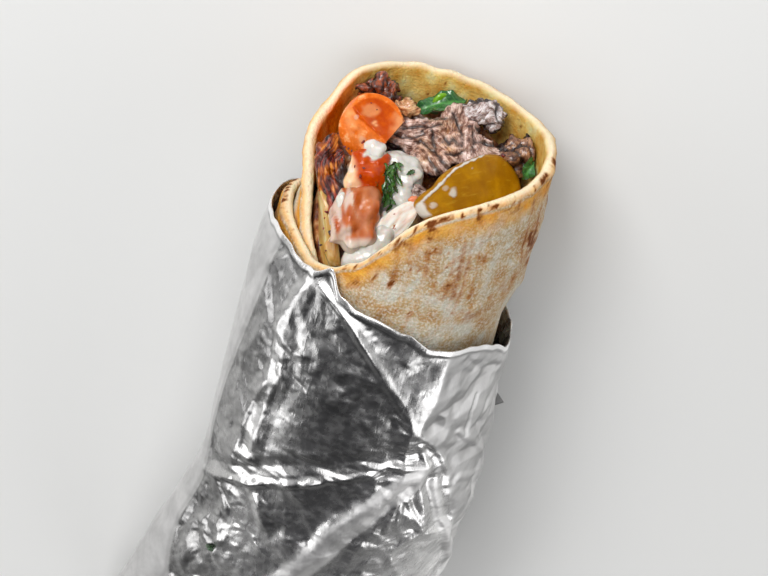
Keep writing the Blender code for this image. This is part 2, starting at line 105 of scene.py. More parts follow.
# Creases of the foil as they are seen: height, how far their flanks reach, and right, up along them
CREASES = (
    (0.7, 3.6, ((-29.4, -30.2), (-31.8, -34.5), (-34.4, -40.5), (-35.6, -51.9), (-39.6, -60),
        (-43.8, -73.8))),
    (-0.5, 1.6, ((10.4, -48), (13.6, -50.6), (17.4, -49.4))),
    (0.6, 1.4, ((8, -66), (11.4, -68.4), (14, -72.6), (13.2, -78))),
    (-0.5, 1.6, ((14.6, -58), (12.4, -62.6), (13.4, -66.8))),
    (0.5, 1.8, ((9.8, -80), (13, -84), (11.4, -92), (8.6, -99))),
    (0.45, 1.6, ((-27.4, -27.3), (-21.7, -34.5), (-18.7, -38.6), (-11.8, -50), (-3.8, -64.3),
        (-2.1, -66.3))),
    (0.9, 7, ((5.9, -46.6), (4.2, -53.5), (2.5, -57.2), (-2.1, -66.3))),
    (0.5, 2.5, ((-37.7, -24.5), (-34.9, -23.1), (-32.3, -22.2))),
    (-0.4, 1.8, ((-33.2, -23.3), (-32, -27.1), (-29.7, -29.6))),
    (0.4, 2.2, ((-36.3, -40.5), (-31.7, -47.1), (-29.2, -47.4))),
    (-0.3, 1.4, ((-35.5, -49.1), (-33.2, -52.5), (-30.3, -55.6))),
    (0.35, 3, ((-26, -46.2), (-23.7, -52.8), (-18.9, -51.6), (-11.2, -54.2))),
    (0.35, 1, ((-2.4, -66.3), (-7.8, -62.6), (-6.1, -66.6), (-2.4, -66.3))),
    (-0.9, 4.5, ((15.1, -52), (11.3, -54.9), (9.3, -58), (2.8, -61.5), (1.9, -66.3))),
    (-0.5, 0.9, ((12.5, -56.9), (10.5, -60.9), (9.3, -66.6))),
    (0.6, 1.6, ((-2.1, -66.3), (1.3, -68.9), (3.6, -71.5), (5.6, -76.6), (5.1, -78.9))),
    (-0.6, 1.4, ((-50.6, -78.7), (-49.7, -82.6), (-47.2, -89.3))),
    (0.5, 3, ((-41.3, -83.7), (-38.8, -93.5))),
    (0.9, 3.4, ((-1.9, -76.8), (-12.5, -78.6), (-14.5, -84), (-23.6, -91), (-28, -98.4),
        (-34, -102.5))),
    (-0.8, 2.6, ((-4.4, -80.2), (-9, -84.6), (-18, -93.4), (-22.6, -100.6))),
    (0.7, 2.2, ((-1.9, -78), (-0.4, -87.7), (-1, -90.7), (-8, -96.1), (-8.6, -99.7))),
    (-0.6, 2.2, ((0.5, -76.8), (1.7, -82.8), (2.9, -87.7), (4.1, -92.5), (5.6, -102.1))),
    (0.5, 1.1, ((-6.5, -82.2), (-10.1, -91.6))),
    (0.5, 1.1, ((-5.6, -82.8), (-7.4, -89.8))),
    (0.5, 1.1, ((-4.7, -83.4), (-1.3, -90.7))),
    (0.8, 1.8, ((7.6, -76.9), (11.3, -76.1))),
    (0.6, 1.4, ((0.2, -74.3), (-3.6, -74.8), (-8.2, -74.6))),
    (0.6, 1.2, ((0.2, -74.3), (-1.5, -69.5))),
)

# The pinch: a lip that catches the light, with a valley above it
PINCH_LIP = (
    (-54.2, -75.9), (-47.8, -78.1), (-37.1, -79.6), (-24.6, -78.6), (-18.5, -78.2), (-8.9, -75.3),
    (0.2, -74.6),
)
PINCH_VALLEY = ((-52.5, -73.6), (-46.6, -74.6), (-31.1, -74.6), (-18.5, -74.2), (-8.9, -72.6), (-1, -71.8))

# Borders of the calm parts of the foil: the band on the left and the panel on the right
BAND_BORDER = (
    (-34.6, -17), (-38.9, -28.2), (-43.5, -40.5), (-48, -51.9), (-52.2, -66.9), (-53.9, -75.3),
    (-59.5, -86.5), (-63.4, -102.1),
)
PANEL_BORDER = ((5.9, -46.6), (2.5, -57.2), (-1, -65.5), (4.6, -73), (5.3, -80), (6, -102.1))

# Fold lines between which the foil is drawn flat, from the left band to the right panel
FOLDS = (
    BAND_BORDER,
    ((-30, -30.2), (-33.2, -34.5), (-36.3, -40.5), (-38.6, -51.9), (-43, -60), (-47.5, -75.3),
        (-54, -102)),
    ((-27.4, -27.3), (-18.7, -38.6), (-11.8, -50), (-3.8, -64.3), (-6, -76.8), (-23.6, -91),
        (-34, -102.5)),
    PANEL_BORDER,
)

# Broad smooth folds below the pinch: half width, and right, up along each
BROAD_FOLDS = (
    (4, ((-2, -77), (-10.6, -83.4), (-20.4, -91), (-29, -98.6), (-36, -104))),
    (1.8, ((1.6, -79.4), (3.4, -88), (5.2, -97), (4, -102))),
)


def srgb(red, green, blue):
    """Colour picked on a screen, as the linear values that shaders take."""
    linear = []
    for channel in (red, green, blue):
        share = channel / 255
        linear.append(share / 12.92 if share < 0.04045 else ((share + 0.055) / 1.055) ** 2.4)
    return (*linear, 1)


def smooth_step(low, high, value):
    """0 below low, 1 above high and a smooth rise between."""
    t = np.clip((value - low) / (high - low), 0, 1)
    return t * t * (3 - 2 * t)


def hill(away):
    """1 at no distance, and a soft fall to nothing at two or more."""
    return np.exp(-(away**2))


def smooth_lookup(table, keys):
    """Values of the table at the keys, on a smooth curve through its rows."""
    rows = np.array(sorted(table), float)
    at, values = rows[:, 0], rows[:, 1:]
    keys = np.clip(np.asarray(keys, float), at[0], at[-1])
    i = np.clip(np.searchsorted(at, keys) - 1, 0, len(at) - 2)
    rise = np.diff(values, axis=0) / np.diff(at)[:, None]
    slope = np.concatenate([rise[:1], rise])
    product = rise[:-1] * rise[1:]
    total = rise[:-1] + rise[1:]
    slope[1:-1] = np.where(product > 0, 2 * product / np.where(product > 0, total, 1), 0)
    span = (at[i + 1] - at[i])[..., None]
    t = (keys - at[i])[..., None] / span
    a = 3 * rise[i] - 2 * slope[i] - slope[i + 1]
    b = slope[i] + slope[i + 1] - 2 * rise[i]
    return values[i] + span * (slope[i] * t + a * t**2 + b * t**3)


def section_at(x):
    """Middle, half width and half height of the roll's section at x."""
    left, right, half_height = np.moveaxis(smooth_lookup(SECTIONS, x), -1, 0)
    return (left - right) / 2, (left + right) / 2, half_height


def roll_point(x, angle, inset):
    """Points of the roll, flat where it would sink into the table."""
    x, angle, inset = np.broadcast_arrays(x, angle, inset)
    middle, half_width, half_height = section_at(x)
    turn = np.radians(angle)
    y = middle - (half_width - inset) * np.cos(turn)
    z = half_height - SINK - np.maximum(half_height - inset, 0.5) * np.sin(turn)
    return np.stack([x, y, np.maximum(z, inset)], -1)


def bread_inset(angle):
    """Inset of the bread's outer face as it spirals inward."""
    return BREAD_INSET + LAYER_STEP * (angle - BREAD_OUTER_END) / 360


def room_inset(angle, x):
    """Inset of the inside of the roll: the innermost face of bread at each angle."""
    step_start = BREAD_INNER_END - 360
    angle = (angle - step_start) % 360 + step_start
    inset = bread_inset(angle) + LAYER_STEP
    into_step = (angle - step_start) / 14
    inset += LAYER_STEP * np.clip(1 - into_step, 0, 1)
    past_rim = (x - smooth_lookup(BREAD_RIM, angle)[..., 0] - 1) / 5
    return inset - np.where(angle > 225, LAYER_STEP * np.clip(past_rim, 0, 1), 0)


def kept_inside(points, gap=0.4):
    """Points that would reach into the bread, pressed back against its inner face."""
    x, y, z = points.T
    middle, half_width, half_height = section_at(x)
    across = middle - y
    above = half_height - SINK - z
    angle = np.degrees(np.arctan2(above / half_height, across / half_width))
    inset = room_inset(angle, x) + gap
    reach = np.sqrt((across / (half_width - inset)) ** 2 + (above / (half_height - inset)) ** 2)
    shrink = np.maximum(reach, 1)
    lifted = np.maximum(half_height - SINK - above / shrink, inset)
    return np.stack([x, middle - across / shrink, lifted], -1)


def to_row(points):
    """Metres in the frame, from millimetres in the roll's own frame."""
    return (np.asarray(points, float) - BOX_MIDDLE) * MM


def random_net(seed):
    """Random heights, from -1 to 1, for the corners of a net."""
    return np.random.default_rng(seed).uniform(-1, 1, (61, 67))


def soft_noise(u, v, size, seed):
    """Smooth hills about size across, from -1 to 1."""
    net = random_net(seed)
    a, b = u / size + 100, v / size + 100
    i, j = np.floor(a).astype(int), np.floor(b).astype(int)
    s, t = smooth_step(0, 1, a - i), smooth_step(0, 1, b - j)
    corners = [net[(i + p) % 61, (j + q) % 67] for p, q in ((0, 0), (1, 0), (0, 1), (1, 1))]
    near = corners[0] + (corners[1] - corners[0]) * s
    far = corners[2] + (corners[3] - corners[2]) * s
    return near + (far - near) * t


def crumple(u, v, size, seed):
    """Flat facets about size across that meet in sharp folds, from -1 to 1."""
    net = random_net(seed)
    bend = 0.45 * size
    u, v = (
        u + bend * soft_noise(u, v, 1.3 * size, seed + 1),
        v + bend * soft_noise(u, v, 1.3 * size, seed + 2),
    )
    skew = (u + v) * 0.366
    a, b = (u + skew) / size + 100, (v + skew) / size + 100
    i, j = np.floor(a).astype(int), np.floor(b).astype(int)
    s, t = a - i, b - j
    low, high = np.minimum(s, t), np.maximum(s, t)
    first = net[i % 61, j % 67]
    side = np.where(s > t, net[(i + 1) % 61, j % 67], net[i % 61, (j + 1) % 67])
    last = net[(i + 1) % 61, (j + 1) % 67]
    return (1 - high) * first + (high - low) * side + low * last


def noise_at(points, size, seed, step=(7.3, 3.1, 1.7)):
    """Smooth noise in space at each point, from -1 to 1. The seed times the step shifts it."""
    shift = seed * np.array(step)
    return np.array([noise.noise(Vector(p)) for p in points / size + shift])


def away_from(line, u, v):
    """Distance of each point from a line through corners."""
    nearest = np.full(np.shape(u), 1e9)
    for (u0, v0), (u1, v1) in zip(line, line[1:]):
        du, dv = u1 - u0, v1 - v0
        t = np.clip(((u - u0) * du + (v - v0) * dv) / (du * du + dv * dv + 1e-9), 0, 1)
        nearest = np.minimum(nearest, np.hypot(u - u0 - t * du, v - v0 - t * dv))
    return nearest


def on_roll(seen):
    """Angle and x where lines of sight through points right, up meet the foil."""
    found = []
    steps = np.arange(380, 760, 0.2)
    for right, up in seen:
        sight = MOUTH + right * RIGHT + up * UP - CAMERA
        points = CAMERA + steps[:, None] * sight / CAMERA_DISTANCE
        middle, half_width, half_height = section_at(points[:, 0])
        across = (middle - points[:, 1]) / half_width
        above = (half_height - SINK - points[:, 2]) / half_height
        inside = across**2 + above**2 < 1
        first = int(np.argmax(inside)) if inside.any() else int(np.argmin(across**2 + above**2))
        found.append((math.degrees(math.atan2(above[first], across[first])), points[first, 0]))
    return np.array(found)


def unrolled(seen):
    """The same points on the foil laid flat, in millimetres round and along it."""
    return [((angle if angle < 90 else angle - 360) * ROUND_MM, x) for angle, x in on_roll(seen)]


def grid_faces(rows, columns, closed):
    """Quads of a grid whose points run row by row. A closed one joins its last column to its first."""
    i = np.arange(rows - 1)[:, None] * columns
    j = np.arange(columns if closed else columns - 1)[None, :]
    k = (j + 1) % columns
    return np.stack([i + j, i + k, i + columns + k, i + columns + j], -1).reshape(-1, 4).tolist()


def faces_out(points, faces):
    """The faces turned so that a closed mesh faces out."""
    volume = 0
    for size in (3, 4):
        some = np.array([face for face in faces if len(face) == size])
        if len(some):
            corners = points[some]
            for k in range(1, size - 1):
                volume += np.einsum("ij,ij->", corners[:, 0], np.cross(corners[:, k], corners[:, k + 1]))
    return faces if volume > 0 else [face[::-1] for face in faces]


def add_piece(name, points, faces, finish, slot, node=None, **values):
    """One piece of the model from points in the roll's frame, in place of the solids' node. Its
    material reads the values: one number for each point, or for all, under each name."""
    points = np.reshape(points, (-1, 3))
    mesh = bpy.data.meshes.new(name)
    mesh.from_pydata(to_row(points).tolist(), [], faces_out(points, faces))
    mesh.shade_smooth()
    mesh.materials.append(finish.material)
    for value, numbers in values.items():
        attribute = mesh.attributes.new(value, "FLOAT", "POINT")
        numbers = np.broadcast_to(np.ravel(numbers), len(points))
        attribute.data.foreach_set("value", numbers.astype(np.float32))
    piece = bpy.data.objects.new(name, mesh)
    bpy.context.scene.collection.objects.link(piece)
    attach(piece, BODY)
    if node:
        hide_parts(node)


class Finish:
    """A material whose colour, roughness and bump are built up from layers of noise. Colours of
    three numbers are picked on a screen, and colours of four are linear."""

    def __init__(self, name, colour, rough, scatter=None, coat=None, shine=None):
        """Scatter: how much light goes under the skin and how many millimetres deep. Coat: how
        strong its wet film is and how rough. Shine: strength of its plain reflections."""
        self.material = bpy.data.materials.new(name)
        self.material.use_nodes = True
        self.tree = self.material.node_tree
        self.shader = self.tree.nodes["Principled BSDF"]
        self.normal = None
        self.set("Base Color", colour)
        self.set("Roughness", rough)
        if scatter:
            self.set("Subsurface Weight", scatter[0])
            self.set("Subsurface Scale", scatter[1] * MM)
        if coat:
            self.set("Coat Weight", coat[0])
            self.set("Coat Roughness", coat[1])
        if shine:
            self.set("Specular IOR Level", shine)

    def feed(self, socket, value):
        if isinstance(value, bpy.types.NodeSocket):
            self.tree.links.new(value, socket)
        elif socket.type == "RGBA" and len(value) == 3:
            socket.default_value = srgb(*value)
        else:
            socket.default_value = value

    def set(self, socket, value):
        self.feed(self.shader.inputs[socket], value)

    def node(self, kind, output, inputs, **settings):
        """Output of a new node, whose inputs are fed by name or number."""
        made = self.tree.nodes.new(kind)
        for name, value in settings.items():
            setattr(made, name, value)
        for socket, value in inputs.items():
            self.feed(made.inputs[socket], value)
        return made.outputs[output]

    def places(self, size, place=None):
        """Coordinates in a piece's own directions, divided by size along each."""
        sizes = size if isinstance(size, tuple) else (size, size, size)
        inputs = {"Vector": self.node("ShaderNodeTexCoord", "Object", {}), "Scale": [s * MM for s in sizes]}
        if place is not None:
            inputs["Rotation"] = place.to_euler()
            inputs["Location"] = to_row(place.translation)
        return self.node("ShaderNodeMapping", "Vector", inputs, vector_type="TEXTURE")

    def noise(self, size, place=None, detail=4, rough=0.55, distortion=0):
        inputs = {"Vector": self.places(size, place), "Scale": 1, "Detail": detail}
        inputs.update({"Roughness": rough, "Distortion": distortion})
        return self.node("ShaderNodeTexNoise", "Fac", inputs)

    def cells(self, size):
        return self.node("ShaderNodeTexVoronoi", "Distance", {"Vector": self.places(size), "Scale": 1})

    def strands(self, along, across, detail):
        """Noise drawn out along a piece's fibres, which it holds as places along and across them."""
        across = self.math("DIVIDE", self.values("across"), across)
        along = self.math("DIVIDE", self.values("along"), along)
        place = self.node("ShaderNodeCombineXYZ", 0, {0: along, 1: across})
        return self.node("ShaderNodeTexNoise", "Fac", {"Vector": place, "Scale": 1, "Detail": detail})

    def values(self, name):
        return self.node("ShaderNodeAttribute", "Fac", {}, attribute_name=name)

    def math(self, operation, first, second):
        return self.node("ShaderNodeMath", 0, {0: first, 1: second}, operation=operation)

    def plus(self, first, second):
        return self.math("ADD", first, second)

    def times(self, first, second):
        return self.math("MULTIPLY", first, second)

    def ramp(self, value, *stops):
        """Colours at positions along a ramp."""
        made = self.tree.nodes.new("ShaderNodeValToRGB")
        elements = made.color_ramp.elements
        while len(elements) < len(stops):
            elements.new(0.5)
        for element, (position, colour) in zip(elements, stops):
            element.position = position
            element.color = srgb(*colour)
        self.feed(made.inputs[0], value)
        return made.outputs[0]

    def between(self, value, low, high, first=0, second=1):
        """A number that goes from first to second as the value goes from low to high."""
        inputs = dict(enumerate((value, low, high, first, second)))
        return self.node("ShaderNodeMapRange", 0, inputs, interpolation_type="SMOOTHSTEP")

    def mix(self, share, first, second):
        return self.node("ShaderNodeMix", 2, {0: share, 6: first, 7: second}, data_type="RGBA")

    def bump(self, height, depth, strength):
        """Fine relief, depth in millimetres, laid over any that is there."""
        inputs = {"Strength": strength, "Distance": depth * MM, "Height": height}
        if self.normal is not None:
            inputs["Normal"] = self.normal
        self.normal = self.node("ShaderNodeBump", "Normal", inputs)
        self.set("Normal", self.normal)


def laid(right, up, toward, turn=0, lean=0, swing=0):
    """Matrix that lays a piece in the mouth. Turn is in the view, lean tips its top away and
    swing takes its right-hand side away."""
    spot = Vector(MOUTH + right * RIGHT + up * UP + toward * TOWARD)
    axes = Matrix((RIGHT, UP, TOWARD)).transposed().to_4x4()
    tip = Matrix.Rotation(math.radians(-lean), 4, "X")
    swivel = Matrix.Rotation(math.radians(swing), 4, "Y")
    spin = Matrix.Rotation(math.radians(turn), 4, "Z")
    return Matrix.Translation(spot) @ axes @ tip @ swivel @ spin


def placed(place, points):
    """Points of a piece, moved to where it is laid."""
    matrix = np.array(place)
    return points @ matrix[:3, :3].T + matrix[:3, 3]


def fitted(place, points):
    """Points of a piece, moved to where it is laid and kept inside the bread."""
    return kept_inside(placed(place, points))


def seen_from(points):
    """Right, up and toward of points in the roll's frame."""
    return (points - MOUTH) @ np.stack([RIGHT, UP, TOWARD], 1)


def away_seen(seen, right, up, wide=1, high=1):
    """Distance of each point from a spot in the view, as shares of how wide and high the spot is."""
    return np.hypot((seen[..., 0] - right) / wide, (seen[..., 1] - up) / high)


def taken_from(bm):
    """Points and faces of a shape made in Blender's mesh editor, which is then freed."""
    points = np.array([vertex.co[:] for vertex in bm.verts])
    faces = [[vertex.index for vertex in face.verts] for face in bm.faces]
    bm.free()
    return points, faces


def lump(size, roughness, grain, seed, detail=5):
    """Uneven lump of the given width, height and depth."""
    bm = bmesh.new()
    bmesh.ops.create_icosphere(bm, subdivisions=detail, radius=0.5)
    unit, faces = taken_from(bm)
    points = unit * np.array(size)
    rough = roughness * noise_at(points, grain, seed)
    return points + unit * 2 * rough[:, None], faces


def outlined(points, size, outline):
    """Draws a lump's silhouette in or out: outline holds angle in its own face, share."""
    angle = np.degrees(np.arctan2(points[:, 1] / size[1], points[:, 0] / size[0]))
    rows = [(a + turn, share) for turn in (-360, 0, 360) for a, share in outline]
    share = smooth_lookup(rows, angle)[:, :1]
    return points + points * FLAT * (share - 1)


def joined(parts):
    """Points and faces of several shapes as one."""
    points, faces, count = [], [], 0
    for some, theirs in parts:
        points.append(some)
        faces.extend([[index + count for index in face] for face in theirs])
        count += len(some)
    return np.concatenate(points), faces


def fused(parts, voxel, smoothing):
    """Several closed shapes melted into one skin."""
    points, faces = joined(parts)
    mesh = bpy.data.meshes.new("fused")
    mesh.from_pydata(points.tolist(), [], faces)
    obj = bpy.data.objects.new("fused", mesh)
    bpy.context.scene.collection.objects.link(obj)
    melt = obj.modifiers.new("Melt", "REMESH")
    melt.mode = "VOXEL"
    melt.voxel_size = voxel
    soften = obj.modifiers.new("Soften", "SMOOTH")
    soften.iterations = smoothing
    bpy.context.view_layer.update()
    made = bpy.data.meshes.new_from_object(obj.evaluated_get(bpy.context.evaluated_depsgraph_get()))
    corners = np.empty(len(made.vertices) * 3)
    made.vertices.foreach_get("co", corners)
    quads = [list(polygon.vertices) for polygon in made.polygons]
    bpy.data.objects.remove(obj)
    bpy.data.meshes.remove(mesh)
    bpy.data.meshes.remove(made)
    return corners.reshape(-1, 3), quads


def outward_of(points, faces):
    """Direction out of the skin at each point."""
    mesh = bpy.data.meshes.new("normals")
    mesh.from_pydata(points.tolist(), [], faces_out(points, faces))
    found = np.empty(len(points) * 3, np.float32)
    mesh.vertex_normals.foreach_get("vector", found)
    bpy.data.meshes.remove(mesh)
    return found.reshape(-1, 3).astype(float)


# Foil


def fold_lines(v):
    """Where each fold line lies round the foil, at distances v along it."""
    return [smooth_lookup([(along, across) for across, along in unrolled(line)], v)[..., 0] for line in FOLDS]


def out_of_view(angle):
    """1 on the sides of the foil that the photograph doesn't show, 0 on those that it shows."""
    return smooth_step(-186, -204, angle) + smooth_step(12, 30, angle)


def foil_relief(angle, x, from_rim):
    """How far the foil's outer face stands out. It lies calmer on the left band and the right panel."""
    u, v = angle * ROUND_MM, x
    lines = fold_lines(v)
    flatten = 0
    for left, right in zip(lines, lines[1:]):
        flatten += np.maximum(0, u - left) * np.maximum(0, right - u) / 70
    past_band = smooth_step(-1, 1.5, u - lines[0])
    in_strip = past_band * smooth_step(1, -1, u - lines[1])
    in_panel = smooth_step(-1, 3, u - lines[3])
    lip = away_from(unrolled(PINCH_LIP), u, v)
    valley = away_from(unrolled(PINCH_VALLEY), u, v)
    near_pinch = hill(valley / 7) * past_band * (1 - in_panel)
    below = smooth_step(0, -6, v - PINCH_X)
    unseen = out_of_view(angle)
    lively = 0.28 + past_band * (0.50 + 0.5 * in_strip + 0.5 * below) * (1 - 0.8 * in_panel) + 0.6 * unseen
    stand = 0.9 - 1.1 * np.tanh(0.8 * flatten / 1.1)
    stand += 0.36 * crumple(u, 0.8 * v, 22, 11) + 0.50 * lively * crumple(u, v, 9, 21)
    wrinkles = 0.26 * crumple(0.8 * u + 0.5 * v, 0.45 * v - 0.3 * u, 3.4, 31) + 0.09 * crumple(u, v, 1.7, 41)
    stand += lively * wrinkles * (1 - 0.6 * near_pinch)
    gathers = 0.40 * crumple(0.22 * u + 0.1 * v, v, 2.8, 81) + 0.16 * crumple(0.35 * u, v, 1.3, 82)
    stand += near_pinch * gathers
    stand += in_panel * (0.7 * soft_noise(u, v, 8, 51) + 0.8 * crumple(u, v, 6, 52))
    plain = crumple(u, 0.7 * v, 12, 92) + 0.4 * crumple(0.6 * u + 0.4 * v, v, 5, 95)
    stand += unseen * plain
    for reach, seen in BROAD_FOLDS:
        stand += 0.9 * np.maximum(0, 1 - away_from(unrolled(seen), u, v) / (1.2 * reach))
    for height, reach, seen in CREASES:
        away = away_from(unrolled(seen), u, v)
        stand += height * np.maximum(0, 1 - away / reach)
    stand += (0.8 + 0.6 * soft_noise(u, v, 2.6, 94)) * np.maximum(0, 1 - lip / 1.8)
    stand = stand - 0.7 * np.maximum(0, 1 - valley / 3)
    hem = smooth_step(2.2, 1.2, from_rim) * FOIL_THICK
    calm_rim = 0.35 + 0.65 * smooth_step(0, 5, from_rim)
    stand = FOIL_THICK + (stand - FOIL_THICK) * calm_rim + hem
    pleats = smooth_step(-150, -200, x)
    stand += pleats * 0.6 * crumple(u, 0.15 * v, 4, 61)
    under = smooth_step(8, 30, np.minimum(np.abs(angle - 90), np.abs(angle + 270)))
    stand = 0.3 + (stand - 0.3) * under
    return 0.5 + 1.35 * np.tanh((stand - 0.5) / 1.35)


def foil_tone(angle, x, relief, from_rim):
    """Painted reflection and painted shade on the metal: dull between the fold lines, on the right panel, on
    the sides out of view and in a patch of the middle, and bright on faces turned to the mouth, on the broad
    fold below the pinch and along the rim; and how matte: the left band, the right panel and the broad fold
    below the pinch are smooth."""
    u, v = angle * ROUND_MM, x
    lines = fold_lines(v)
    across = np.gradient(relief, axis=1) / np.gradient(u[0])
    along = np.gradient(relief, axis=0) / np.gradient(v, axis=0)
    unseen = out_of_view(angle)
    # Painted light from the relief's slopes: faces turned to the mouth brighter, faces turned away darker
    turned = np.clip(1 + (1.1 * across - 2.2 * along) * (1 + 1.2 * unseen), 0.45, 1.8)
    past_band = smooth_step(-0.4, 0.4, u - lines[0])
    in_strip = past_band * smooth_step(0.4, -0.4, u - lines[1])
    in_panel = smooth_step(-0.4, 0.4, u - lines[3])
    middle = past_band * (1 - in_strip) * (1 - in_panel)
    below = smooth_step(0, -5, v - PINCH_X)
    # Painted reflection and painted shade: the strip, the middle, the right panel and the sides out of view
    # darker, and a thin line along the left band's border too
    tone = 1 - 0.50 * in_strip - 0.05 * middle * (1 - below) - 0.22 * in_panel - 0.3 * unseen
    tone = tone - 0.22 * smooth_step(3, 1, lines[0] - u) * smooth_step(1, -2, u - lines[0])
    # Painted shade on a patch of the middle
    shade = hill(np.hypot((u - 0.4 * lines[1] - 0.6 * lines[2]) / 8, (v + 56) / 13))
    tone -= 0.22 * shade * middle
    broad = 0
    for reach, seen in BROAD_FOLDS:
        away = away_from(unrolled(seen), u, v) + 0.5 * soft_noise(u, v, 3, 93)
        broad = np.maximum(broad, smooth_step(reach + 0.4, reach - 0.8, away))
    matte = np.maximum(broad, 1 - middle - in_strip) * (1 - 0.7 * unseen)
    tone = tone * (1 + (turned - 1) * (0.6 + 0.4 * (1 - matte)))
    # Painted reflection: the broad folds below the pinch brighter, in patches
    tone += 0.3 * broad * (1 + 0.6 * soft_noise(u, v, 4, 91))
    # Painted highlight along the rim
    tone += 0.6 * smooth_step(1.6, 0.9, from_rim)
    return np.clip(tone, 0.22, 1.5), np.clip(matte, 0, 1)


def foil_columns():
    """Angles round the foil, close together where it is seen from above."""
    left = np.linspace(-270, -196, 30, endpoint=False)
    top = np.linspace(-196, 16, 236, endpoint=False)
    right = np.linspace(16, 90, 30, endpoint=False)
    return np.concatenate([left, top, right])


def torn_corner(along, across, reach, half_width):
    """Corner of foil: wider at one end and slightly curled."""
    return np.stack([along * reach, across * half_width * (0.75 + 0.25 * along), 0.4 * along * along], -1)


def add_tab(name, right, up, turn, width, height):
    """Small corner of foil that sticks out at the side of the sleeve."""
    points, faces = bent_sheet(width, height, 0.25, torn_corner, 16, 12)
    angle, x = on_roll([(right, up)])[0]
    toward = seen_from(roll_point(x, angle, 0)[None])[0, 2]
    points = placed(laid(right, up, toward, turn=turn), points)
    # Painted reflection: the tab's metal darkened to a fixed share
    add_piece(name, points, faces, foil_finish(), "foil", tone=0.45, matte=1)


def make_foil():
    """Sleeve of thin foil: outer face from the closed end to the rim, then its inner face."""
    angle = foil_columns()[None, :]
    rim_angle = np.where(angle < -199, angle + 360, angle)
    rim = smooth_lookup(FOIL_RIM, rim_angle)[..., 0]
    rim += 0.5 * soft_noise(angle * ROUND_MM, 0 * angle, 3, 71)
    share = np.concatenate([np.linspace(0, 0.42, 80, endpoint=False), np.linspace(0.42, 1, 216)])
    x = FOIL_BOTTOM + (rim - FOIL_BOTTOM) * share[:, None]
    relief = foil_relief(angle, x, rim - x)
    outer = roll_point(x, angle, -relief)
    outer[..., 2] = np.maximum(outer[..., 2], 0)
    middle = np.mean(outer[0], axis=0)
    end, edge, inner = [], [], []
    for pull in (0.97, 0.7, 0.35, 0.10):
        ring = outer[:1].copy()
        ring[..., 2] += (middle[2] - ring[..., 2]) * pull
        ring[..., 0] -= 1.2 * math.sin(pull * math.pi / 2)
        end.append(ring)
    for turn in (35, 90, 145):
        side = (1 - math.cos(math.radians(turn))) / 2
        beyond = 0.22 * math.sin(math.radians(turn))
        edge.append(roll_point(rim + beyond, angle, FOIL_THICK * side - relief[-1:]))
    depths = (0.2, 0.7, 1.4, 2.2, 3.2, 4.5, 6, 8, 11, 16, 25)
    for depth in depths:
        follow = max(0, 1 - depth / 6)
        outer_now = foil_relief(angle, rim - depth, 0 * angle + depth)
        inset = follow * (FOIL_THICK - outer_now) + (1 - follow) * FOIL_INSIDE
        inner.append(roll_point(rim - depth, angle, np.minimum(inset, FOIL_INSIDE)))
    for share in (0.66, 0.33, 0):
        deep = FOIL_BOTTOM + 4 + (rim - depths[-1] - FOIL_BOTTOM) * share
        inner.append(roll_point(deep, angle, FOIL_INSIDE))
    rows = np.concatenate(end + [outer] + edge + inner)
    rows[..., 2] = np.maximum(rows[..., 2], 0)
    count, around = rows.shape[:2]
    faces = grid_faces(count, around, True)
    for end_row in (0, count - 1):
        base = end_row * around
        for i in range(around // 2 - 1):
            face = [base + i, base + i + 1, base + around - 2 - i, base + around - 1 - i]
            faces.append(face if end_row else face[::-1])
    tone = np.ones((count, around))
    matte = np.zeros((count, around))
    outside = slice(len(end), len(end) + len(outer))
    tone[outside], matte[outside] = foil_tone(angle, x, relief, rim - x)
    turned_rim = slice(outside.stop, outside.stop + len(edge) + 1)
    # Painted highlight on the turned rim
    tone[turned_rim] = 1.4
    add_piece("foil_sleeve", rows, faces, foil_finish(), "foil", "foil", tone=tone, matte=matte)


def foil_finish():
    """Bright rolled metal, a little clouded, with tiny wrinkles, darkened and brightened by the painted
    reflection and painted shade that it reads.
    """
    finish = Finish("foil", (0.62, 0.62, 0.63, 1), 0.2)
    finish.set("Metallic", 1)
    cloudy = finish.between(finish.noise(9, detail=3), 0.3, 0.7, 0.58, 0.70)
    # The metal's colour is the painted light times a little random clouding
    tone = finish.math("MINIMUM", finish.times(finish.values("tone"), cloudy), 1)
    finish.set("Base Color", finish.mix(tone, (0, 0, 0, 1), (1, 0.99, 0.985, 1)))
    clouds = finish.between(finish.noise(2.5), 0.35, 0.7, 0.2, 0.33)
    finish.set("Roughness", finish.plus(clouds, finish.times(finish.values("matte"), 0.25)))
    finish.bump(finish.noise((4, 1.4, 1.4), detail=3, rough=0.5, distortion=0.6), 0.14, 0.6)
    return finish


# Flatbread


# Browned places on the flap, and one tall strip of painted shade down its right edge: right, up, reach
# across, reach up, how brown
SCORCHED = (
    (5.6, -27.4, 5, 3.6, 0.5), (8, -25.6, 10, 6.5, 0.4), (26.2, -20, 1.8, 12, 0.6),
    (22, -13, 3.4, 3.4, 0.4), (-17, -30, 4, 2.6, 0.45), (-9, -28, 3, 4, 0.35),
    (12, -36, 3, 4, 0.3),
)

# Browned spots on the inside of the back wall: right, up, reach
INSIDE_SPOTS = (
    (1, 19.4, 0.5), (5.5, 21.9, 0.4), (7.7, 19.7, 0.5), (9.4, 17.4, 0.4), (23.4, 7.5, 0.6),
    (24.6, 10.4, 0.4),
)


def bread_profile():
    """Rows of the bread's section: share of the way down, and turn over the rim from 0 to 180."""
    near = np.linspace(0, 0.25, 58)
    far = np.array((0.30, 0.38, 0.5, 0.65, 0.82, 1))
    down = np.concatenate([near[1:], far])
    turns = np.linspace(0, 180, 9)
    shares = np.concatenate([down[::-1], np.zeros(len(turns)), down])
    over = np.concatenate([np.zeros(len(down)), turns, np.full(len(down), 180)])
    return shares[:, None], over[:, None]


